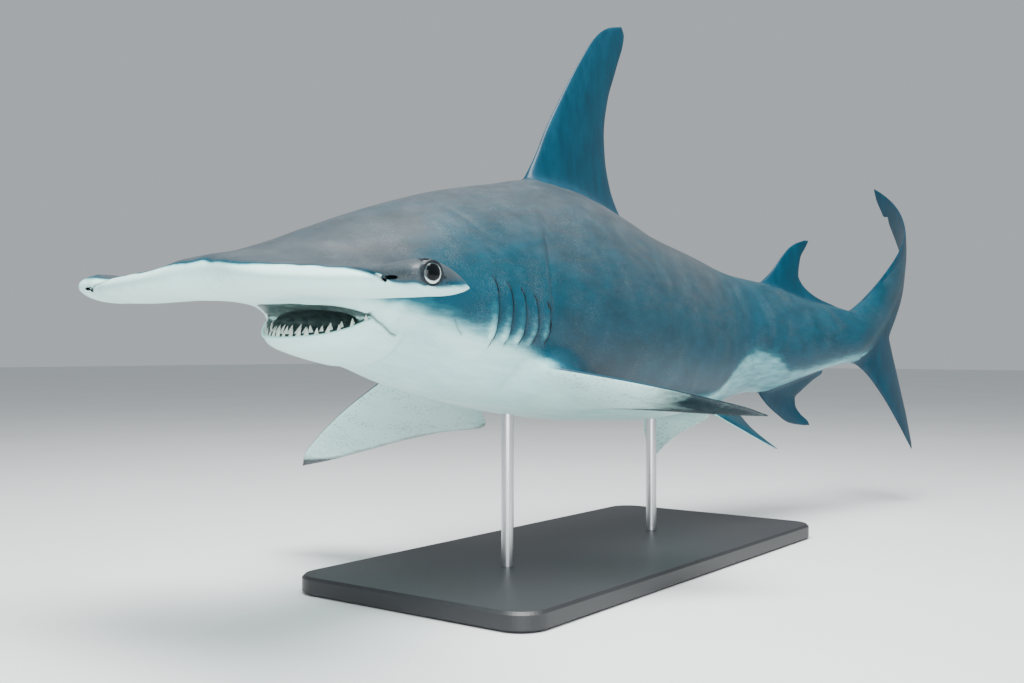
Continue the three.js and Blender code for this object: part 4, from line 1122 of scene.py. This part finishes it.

# %% [markdown]
# The insides are painted darker than the skin round them, as painted shade: the sockets and
# nostrils, the slits with a painted shadow along each, and the furrows of the face. The lid round
# each eye is painted dark where it faces sideways. Ahead of each slit runs a painted highlight, a
# paler ridge. All shares are then stored on the points under a name, with the straight position
# too, so that patterns run along the body and not across the room. Last the whole skin is bent
# into the swimming curve.

# %% Painted shade of the insides, stored shares and the bend
# How dark the lid's ring is, how dark the painted shade is in the furrow, the fold and the groove, and that
# shade's width in mm
LID_DARK, FURROW_DARK, FOLD_DARK, GROOVE_DARK, DARK_LINE = 0.75, 0.75, 0.4, 0.6, 2.6
# The painted shadow just behind each slit: how dark, how far behind and how wide, in mm.
SLIT_SHADOW, SLIT_BEHIND, SLIT_WIDTH = 0.38, 3, 6
# The painted highlight on the flap ahead of each slit: how much paler, how far ahead, how wide, and the
# least dark share it shows on.
RIDGE_HIGHLIGHT, RIDGE_AHEAD, RIDGE_WIDTH, RIDGE_FROM = 0.20, 13, 10, 0.3


def mouth_share(points, normal):
    """1 on the palate and on the floor of the mouth behind each lip, by where and how they face."""
    s, y, z = points.T
    q = np.clip(y / MOUTH_HALF, -1, 1)
    up = normal[:, 2]
    palate = step(2, 9, s - mouth_station(UPPER_FRONT, q)) * step(0.1, -0.3, up) * (z > -75)
    under = step(1, 7, s - mouth_station(LOWER_FRONT, q)) * step(0.1, 0.4, up) * (z < -60)
    return np.maximum(palate, under) * (np.abs(y) < MOUTH_HALF) * (s < MOUTH_CORNER + 20)


def store(mesh, name, values):
    """A float or vector attribute on the points."""
    kind, key = ("FLOAT_VECTOR", "vector") if values.ndim > 1 else ("FLOAT", "value")
    layer = mesh.attributes.new(name, kind, "POINT")
    layer.data.foreach_set(key, values.astype(np.float32).ravel())


def bend_piece(obj):
    """Bend a straight piece into the swimming curve and shade it smoothly."""
    put(obj.data, bend(places(obj.data)))
    obj.data.polygons.foreach_set("use_smooth", np.ones(len(obj.data.polygons), dtype=bool))


cave = np.maximum(mouth_share(points, normal) * (high < FIN), high == HOLLOW_WALL)
# Painted shade: the walls of the sockets, nostrils and slits take the near-black colour in full.
dark = np.isin(high, (SOCKET, NOSTRIL, SLIT)).astype(float)
# The lid ring is painted dark where it faces sideways.
dark = np.where(high == LID, LID_DARK * step(0.1, 0.6, np.abs(normal[:, 1])), dark)
# Painted shade in the furrow behind each mouth corner, the fold of the cheek and the groove to each
# nostril.
furrow, fold, groove = face_lines(points, DARK_LINE)
dark = np.maximum(dark, (high < FIN) * np.maximum(FURROW_DARK * furrow, FOLD_DARK * fold))
dark = np.maximum(dark, GROOVE_DARK * groove * in_hammer)
for index in range(GILL_COUNT):
    station, u = slit_station(z, index)
    here = step(-0.02, 0.1, u) * step(1.02, 0.9, u) * (high < HOLLOW_WALL)
    # a painted shadow just behind each slit
    dark = np.maximum(dark, SLIT_SHADOW * here * bell(s - station - SLIT_BEHIND, SLIT_WIDTH))
    # a painted highlight on the raised flap ahead of each slit
    ridge_highlight = RIDGE_HIGHLIGHT * here * (1 - 0.8 * u) * bell(s - station + RIDGE_AHEAD, RIDGE_WIDTH)
    shade = shade - ridge_highlight * (shade > RIDGE_FROM)
# The stored dark share holds the painted shade of the insides, slits and furrows, and the lid's dark ring.
for name, values in (("straight", points / 1000), ("shade", shade), ("mouth", cave), ("tip", tip),
                     ("fin", np.where(on_paired, clear, on_fin)), ("paired", on_paired * clear),
                     ("painted_shade_and_dark_lid", dark)):
    store(skin.data, name, values)
bend_piece(skin)
bent = places(skin.data)
print("skin spans", bent.min(0).round(3), "to", bent.max(0).round(3))

# %% [markdown]
# Finishes are node trees. A few short functions make the nodes that come again and again: a sum, a
# mix of two colours, a ramp, a stretched noise and a shared speckle, which is a group of its own.

# %% Node helpers
def feed(tree, socket, value):
    """Link a socket to another node's output, or give it a plain value."""
    if isinstance(value, bpy.types.NodeSocket):
        tree.links.new(value, socket)
    else:
        socket.default_value = value


def node(tree, kind, values=None, **settings):
    """Make a node, set its properties and then its inputs by name or number."""
    made = tree.nodes.new(kind)
    for key, value in settings.items():
        setattr(made, key, value)
    for key, value in (values or {}).items():
        feed(tree, made.inputs[key], value)
    return made


def maths(tree, operation, a, b=0.0):
    return node(tree, "ShaderNodeMath", {0: a, 1: b}, operation=operation).outputs[0]


def times(tree, a, b):
    return maths(tree, "MULTIPLY", a, b)


def centred(tree, value, scale):
    """The value's distance from one half, scaled."""
    return times(tree, maths(tree, "SUBTRACT", value, 0.5), scale)


def spread(tree, value, low, high, first=0.0, last=1.0):
    """The value carried from low..high to first..last and held there."""
    return node(tree, "ShaderNodeMapRange", {0: value, 1: low, 2: high, 3: first, 4: last}).outputs[0]


def blend(tree, share, a, b):
    """Mix two colours."""
    return node(tree, "ShaderNodeMix", {0: share, 6: a, 7: b}, data_type="RGBA").outputs[2]


def stored(tree, name, output="Fac"):
    return node(tree, "ShaderNodeAttribute", attribute_name=name).outputs[output]


def ramp(tree, value, stops):
    """Colour ramp through (place, colour) stops."""
    made = node(tree, "ShaderNodeValToRGB", {0: value})
    elements = made.color_ramp.elements
    while len(elements) < len(stops):
        elements.new(0.5)
    for element, (place, colour) in zip(elements, stops):
        element.position = place
        element.color = (*colour, 1)
    return made.outputs[0]


def noise(tree, where, scale, detail=3.0, stretch=(1, 1, 1), roughness=0.5):
    """Noise on a stretched place."""
    scaled = node(tree, "ShaderNodeVectorMath", {0: where, 1: stretch}, operation="MULTIPLY")
    settings = {"Vector": scaled.outputs[0], "Scale": scale, "Detail": detail, "Roughness": roughness}
    return node(tree, "ShaderNodeTexNoise", settings).outputs[0]


def new_material(name, roughness=0.5, metallic=0.0, coat=0.0):
    """A material with its node tree and its Principled shader."""
    material = bpy.data.materials.new(name)
    material.use_nodes = True
    shader = material.node_tree.nodes["Principled BSDF"]
    for key, value in (("Roughness", roughness), ("Metallic", metallic), ("Coat Weight", coat)):
        shader.inputs[key].default_value = value
    return material, material.node_tree, shader


def bump(tree, shader, height, strength, distance):
    made = node(tree, "ShaderNodeBump", {"Height": height, "Strength": strength, "Distance": distance})
    tree.links.new(made.outputs[0], shader.inputs["Normal"])


def grained(name, place, pattern, stops, bumps=None, **shine):
    """A material whose colour is a ramp over one noise, read at a stored place or the object's own."""
    material, tree, shader = new_material(name, **shine)
    if place:
        where = stored(tree, place, "Vector")
    else:
        where = node(tree, "ShaderNodeTexCoord").outputs["Object"]
    grain = noise(tree, where, *pattern)
    tree.links.new(ramp(tree, grain, stops), shader.inputs["Base Color"])
    if bumps:
        bump(tree, shader, grain, *bumps)
    return material


def speckle_group():
    """Spots where a fine noise, helped by 0.4 of a broad one, passes 0.78, with a steep edge."""
    group = bpy.data.node_groups.new("speckle", "ShaderNodeTree")
    for name, kind, way in (("Place", "Vector", "INPUT"), ("Scale", "Float", "INPUT"),
                            ("Amount", "Float", "INPUT"), ("Spots", "Float", "OUTPUT")):
        group.interface.new_socket(name, in_out=way, socket_type="NodeSocket" + kind)
    place, scale, amount = group.nodes.new("NodeGroupInput").outputs[:3]
    fine, broad = (node(group, "ShaderNodeTexNoise", {"Vector": place, "Scale": size, "Detail": detail})
                   .outputs[0] for size, detail in ((scale, 3.0), (14.0, 2.0)))
    over = maths(group, "SUBTRACT", maths(group, "ADD", fine, times(group, broad, 0.4)), 0.78)
    spots = times(group, times(group, over, 14.0), amount)
    clamped = node(group, "ShaderNodeClamp", {0: spots}).outputs[0]
    group.links.new(clamped, group.nodes.new("NodeGroupOutput").inputs[0])
    return group


def speckle(tree, where, scale, amount):
    return node(tree, "ShaderNodeGroup", {0: where, 1: scale, 2: amount}, node_tree=SPECKLE).outputs[0]


SPECKLE = speckle_group()
print("speckle nodes:", len(SPECKLE.nodes))

# %% [markdown]
# Shark skin is covered in tiny scales, so it is satin rather than glossy, with a fine grain. Its
# colour runs from a warm grey-brown back through a teal flank to a greenish white belly, with a soft,
# slightly speckled border. The brown back and pale belly are the shark's own; the teal of the flank
# and fins and the green tint of the belly are painted water light. The colours are a ramp over the
# stored shade plus noise that is stretched along the body, which a painted image could show too but
# not at every distance.

# %% Skin material
# The teal of the flank and fins and the green tint of the pale belly are painted water light; the brown
# back over a pale belly is the shark's own.
PALE_WATER_LIGHT_COLOUR = (0.58, 0.92, 0.87)
FLANK_WATER_LIGHT_COLOUR = (0.001, 0.048, 0.080)
BACK_COLOUR = (0.036, 0.050, 0.060)
SKIN_STOPS = [(0.0, PALE_WATER_LIGHT_COLOUR), (0.18, (0.40, 0.72, 0.70)), (0.34, (0.12, 0.34, 0.38)),
              (0.47, (0.008, 0.095, 0.130)), (0.57, FLANK_WATER_LIGHT_COLOUR), (0.74, (0.005, 0.046, 0.070)),
              (1.0, BACK_COLOUR)]
# the teal tint of the fins is painted water light
FIN_STOPS = [(0.3, (0.000, 0.024, 0.045)), (0.7, (0.001, 0.044, 0.076))]
LINING_STOPS = [(0.3, (0.040, 0.080, 0.080)), (0.7, (0.13, 0.20, 0.19))]
FLECK_COLOUR, VEIL_COLOUR = (0.26, 0.32, 0.33, 1), (0.10, 0.17, 0.17, 1)
# Painted shade: the second colour is the near black of the insides, slits and furrows, also used for the
# lid's dark ring.
SMUDGE_COLOUR, PAINTED_SHADE_AND_LID_COLOUR = (0.004, 0.020, 0.028, 1), (0.004, 0.008, 0.011, 1)
skin_finish, tree, shader = new_material("shark skin", 0.40)
shader.inputs["Specular IOR Level"].default_value = 0.25
place = stored(tree, "straight", "Vector")
shade, fin = stored(tree, "shade"), stored(tree, "fin")
broad = noise(tree, place, 6, 4, (1, 1.6, 1.6))
streak = noise(tree, place, 46, 5, (0.22, 1.5, 1.5), 0.65)
wobble = maths(tree, "ADD", centred(tree, broad, 0.22), centred(tree, streak, 0.30))
colour = ramp(tree, maths(tree, "ADD", shade, wobble), SKIN_STOPS)
mottle = spread(tree, noise(tree, place, 22, 6, (0.5, 1, 1), 0.7), 0.36, 0.68, 0.80, 1.22)
lit = node(tree, "ShaderNodeVectorMath", {0: colour, "Scale": mottle}, operation="SCALE").outputs[0]
fin_colour = ramp(tree, noise(tree, place, 30, 5, (1, 1, 0.4), 0.65), FIN_STOPS)
dust = noise(tree, place, 26, 5, (1, 1, 1), 0.7)
smudge = maths(tree, "ADD", stored(tree, "tip"), centred(tree, dust, 0.6))
underside = times(tree, stored(tree, "paired"), maths(tree, "SUBTRACT", 1.0, shade))
veil = times(tree, speckle(tree, place, 160.0, 1.0), underside)
lining = ramp(tree, noise(tree, place, 90, 4), LINING_STOPS)
for share, over in ((spread(tree, shade, 0.15, 0.6), lit),
                    (times(tree, speckle(tree, place, 520.0, 0.7), 0.16), FLECK_COLOUR),
                    (times(tree, fin, shade), fin_colour),
                    (spread(tree, smudge, 0.32, 0.82), SMUDGE_COLOUR),
                    (times(tree, veil, 0.45), VEIL_COLOUR),
                    (stored(tree, "mouth"), lining),
                    # painted shade of the insides, slits and furrows, and the lid's dark ring
                    (stored(tree, "painted_shade_and_dark_lid"), PAINTED_SHADE_AND_LID_COLOUR)):
    colour = blend(tree, share, colour, over)
tree.links.new(colour, shader.inputs["Base Color"])
bump(tree, shader, noise(tree, place, 620, 2), 0.16, 0.001)
skin.data.materials.clear()
skin.data.materials.append(skin_finish)
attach(skin, "root")
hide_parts("head", "lower_jaw", "neck", "torso", "tail", "first_dorsal_fin",
            "second_dorsal_fin", "anal_fin", "caudal_fin_upper_lobe", "caudal_fin_lower_lobe",
            "pectoral_fin_left", "pectoral_fin_right", "pelvic_fin_left", "pelvic_fin_right")
print("skin material nodes:", len(tree.nodes))

# %% [markdown]
# The mouth shows two rows of teeth on the lower jaw, narrow blades that lean inwards and stand a
# little out of line, because sharks replace them one by one. They are lofts from an oval foot to a
# point. Behind them lie the dark gum, a low bead along the jaw, and a flat tongue.

# %% Teeth, gum and tongue
TEETH_ROWS = [(17, 3.5, 16), (18, 13, 22)]  # count, inset, height
TOOTH_SPAN, TOOTH_WIDTH, TOOTH_SHRINK, TOOTH_FOOT = 0.95, 15, 0.4, -3
TOOTH_SCALE, TOOTH_POINT, TOOTH_FLAT = 17, 0.2, 0.4  # height at full width, half width of the point
GUM_BEAD, GUM_LIFT, GUM_INSET = 6.5, -1, 12
TONGUE = {"at": (262, 0, -122), "half": (46, 66, 17), "turn": 0}


def tooth_rings(s, y, z, along, height, lean, twist, rings=9, around=12):
    """Ovals whose width falls as 1 - h^1.05 up to the tip; the middle bows back as h squared."""
    h, angle = np.meshgrid(np.linspace(0, 1, rings), -2 * np.pi * np.arange(around) / around,
                           indexing="ij")
    wide = TOOTH_WIDTH * height / TOOTH_SCALE * (1 - h**1.05) * 0.5 + TOOTH_POINT
    side = wide * np.cos(angle) + twist * h * height
    deep = wide * TOOTH_FLAT * np.sin(angle) + lean * h**2 * height
    return np.stack([s + along[0] * side + along[1] * deep, y + along[1] * side - along[0] * deep,
                     z + (height - TOOTH_FOOT) * h + 0 * side], -1)


def meshes_together(meshes):
    """Several point and face lists as one."""
    starts = np.cumsum([0] + [len(m[0]) for m in meshes[:-1]])
    faces = [np.concatenate([m[k] + n for m, n in zip(meshes, starts)]) for k in (1, 2)]
    return np.concatenate([m[0] for m in meshes]), *faces


def tooth_row(count, inset, height, rng):
    """One row along the jaw; each tooth varies a little in height, lean and twist."""
    meshes = []
    for index in range(count):
        place_q = TOOTH_SPAN * (-1 + 2 * index / (count - 1))
        station, side, along = along_lip(LOWER_FRONT, np.array(place_q))
        tall = height * (1 - TOOTH_SHRINK * place_q**2) * rng.uniform(0.78, 1.1)
        foot_z = float(curve(LOWER_LIP, abs(place_q))) + TOOTH_FOOT
        rings = tooth_rings(station + along[1] * inset, side - along[0] * inset, foot_z, along,
                            tall, rng.uniform(0.15, 0.5), rng.uniform(-0.25, 0.25))
        meshes.append(tube_mesh(rings))
    return meshes_together(meshes)


def mouth_piece(name, mesh):
    """Store the straight position, bend the piece and let it ride with the root."""
    made = add_object(name, mesh)
    store(made.data, "straight", places(made.data) / 1000)
    bend_piece(made)
    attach(made, "root")
    return made


rng = np.random.default_rng(7)
gum_rings = lip_rings(LOWER_FRONT, LOWER_LIP, GUM_BEAD, GUM_LIFT, GUM_INSET, 160, 18)
teeth = mouth_piece("teeth", meshes_together([tooth_row(*row, rng) for row in TEETH_ROWS]))
gum = mouth_piece("gum", tube_mesh(gum_rings))
tongue = mouth_piece("tongue", ball_at(TONGUE, 1, 64, 40))
tooth_finish = grained("tooth enamel", "straight", (220, 3, (1, 1, 0.3)),
                       [(0.3, (0.62, 0.64, 0.55)), (0.65, (0.80, 0.83, 0.78))],
                       roughness=0.22, coat=0.5)
lining_finish = grained("mouth lining", "straight", (120, 4),
                        [(0.3, (0.008, 0.018, 0.022)), (0.7, (0.035, 0.060, 0.062))],
                        (0.4, 0.002), roughness=0.38, coat=0.2)
for made, finish in ((teeth, tooth_finish), (gum, lining_finish), (tongue, lining_finish)):
    made.data.materials.append(finish)
print("teeth faces:", len(teeth.data.polygons), "gum:", len(gum.data.polygons))

# %% [markdown]
# The eyes are balls a fraction smaller than their sockets. A hammerhead's eye is nearly all pupil,
# with a silver-white rim that shows most at the lower rear. The ring pattern reads the eye's own
# coordinates, stored on its points, because the two eyes look opposite ways.

# %% Eyes
EYE_CLEAR = 0.3  # mm between the ball and EYE_RADIUS
PUPIL, PUPIL_AT = 0.53, (-0.03, 0.05)  # radius and middle as shares of the eye's radius
CRESCENT, CRESCENT_AT = 0.60, (-0.10, 0.13)
SILVER_STOPS = [(0.3, (0.42, 0.50, 0.50)), (0.7, (0.78, 0.86, 0.85))]
RIM_STOPS = [(0.0, (0.03, 0.045, 0.05)), (0.62, (0.05, 0.075, 0.08)), (0.68, (0.006, 0.010, 0.013))]
PUPIL_COLOUR = (0.002, 0.003, 0.004, 1)


def eye(name, side):
    """A ball with its own coordinates stored: rearward, outwards and up, in eye radii."""
    points, quads, fans = ball_mesh([0, 0, 0], EYE_RADIUS - EYE_CLEAR, count=72, rows=48)
    made = add_object(name, (points + eye_centre(side), quads, fans))
    off = (places(made.data) - eye_centre(side)) / EYE_RADIUS
    axis = eye_axis(side)
    rearward = np.array([abs(axis[1]), -axis[0] * side, 0])
    store(made.data, "own", np.stack([off @ rearward, off @ axis, off[:, 2]], -1))
    bend_piece(made)
    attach(made, "root")
    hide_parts(name)
    return made


def from_point(tree, parts, middle):
    """Distance from a middle in the rear and up directions."""
    off = [maths(tree, "SUBTRACT", parts.outputs[k], m) for k, m in zip((0, 2), middle)]
    return maths(tree, "SQRT", maths(tree, "ADD", *[times(tree, o, o) for o in off]))


eyes = [eye("eye_left", -1), eye("eye_right", 1)]
eye_finish, tree, shader = new_material("eye", 0.12, coat=0.12)
shader.inputs["Specular IOR Level"].default_value = 0.12
own = stored(tree, "own", "Vector")
parts = node(tree, "ShaderNodeSeparateXYZ", {0: own})
silver = ramp(tree, noise(tree, own, 9, 4, (1, 1, 1), 0.7), SILVER_STOPS)
from_middle = from_point(tree, parts, (0, 0))
inside = spread(tree, from_middle, 0.67, 0.64)
crescent = spread(tree, from_point(tree, parts, CRESCENT_AT), CRESCENT, CRESCENT + 0.03)
pupil = spread(tree, from_point(tree, parts, PUPIL_AT), PUPIL + 0.02, PUPIL)
colour = blend(tree, times(tree, crescent, inside), ramp(tree, from_middle, RIM_STOPS), silver)
colour = blend(tree, pupil, colour, PUPIL_COLOUR)
tree.links.new(colour, shader.inputs["Base Color"])
for made in eyes:
    made.data.materials.append(eye_finish)
print("eyes:", [len(o.data.polygons) for o in eyes])

# %% [markdown]
# Floor and light. The base stands on a plain pale floor that also throws light back at the belly.
# One large soft light hangs above and ahead, another fills from the camera's side.

# %% Floor and light
FLOOR_HALF, FLOOR_SINK = 30.0, 0.0005  # metres; it lies just under the base
FLOOR_STOPS = [(0.3, (0.72, 0.74, 0.75)), (0.7, (0.76, 0.78, 0.79))]
LIGHTS = [  # name, place, target, size, watts, colour
    ("overhead", (-1.0, -0.8, 4.0), (0.1, 0, 0.6), 2.6, 520, (1.0, 0.99, 0.97)),
    ("camera side", (-3.9, -3.0, 1.0), (-0.7, 0, 0.6), 2.6, 170, (0.95, 0.99, 1.0))]
SKY_COLOUR, SKY_STRENGTH = (0.80, 0.86, 0.90, 1), 0.55


def floor():
    corners = [(x * FLOOR_HALF, y * FLOOR_HALF, -FLOOR_SINK)
               for x, y in ((-1, -1), (1, -1), (1, 1), (-1, 1))]
    data = bpy.data.meshes.new("floor")
    data.from_pydata(corners, [], [(0, 1, 2, 3)])
    made = bpy.data.objects.new("floor", data)
    bpy.context.collection.objects.link(made)
    data.materials.append(grained("pale floor", None, (1.2,), FLOOR_STOPS, roughness=0.8))


def soft_light(name, place, target, size, watts, colour):
    """A square area light that looks at a target."""
    data = bpy.data.lights.new(name, "AREA")
    data.size = size
    data.energy = watts
    data.color = colour
    made = bpy.data.objects.new(name, data)
    made.location = place
    made.rotation_euler = (Vector(target) - Vector(place)).to_track_quat("-Z", "Y").to_euler()
    bpy.context.collection.objects.link(made)


floor()
for light in LIGHTS:
    soft_light(*light)
world = bpy.data.worlds.new("studio")
world.use_nodes = True
world.node_tree.nodes["Background"].inputs[0].default_value = SKY_COLOUR
world.node_tree.nodes["Background"].inputs[1].default_value = SKY_STRENGTH
bpy.context.scene.world = world

# %% [markdown]
# The stand is powder-coated steel with two brushed rods. The coat has a fine even grain that also
# stands up a little, and the brushing is the same kind of noise, drawn out along the rods.

# %% Stand materials
base_finish = grained("powder coat", None, (900, 2),
                      [(0.35, (0.012, 0.012, 0.014)), (0.7, (0.022, 0.022, 0.025))],
                      (0.2, 0.0005), roughness=0.45)
rod_finish = grained("brushed steel", None, (300, 3, (1, 1, 0.02)),
                     [(0.3, (0.50, 0.51, 0.53)), (0.7, (0.62, 0.63, 0.65))],
                     roughness=0.32, metallic=1.0)
for name, finish in (("stand_base", base_finish), ("stand_rod_front", rod_finish),
                     ("stand_rod_rear", rod_finish)):
    data = bpy.data.objects[name].data
    data.materials.clear()
    data.materials.append(finish)
print("stand finished")
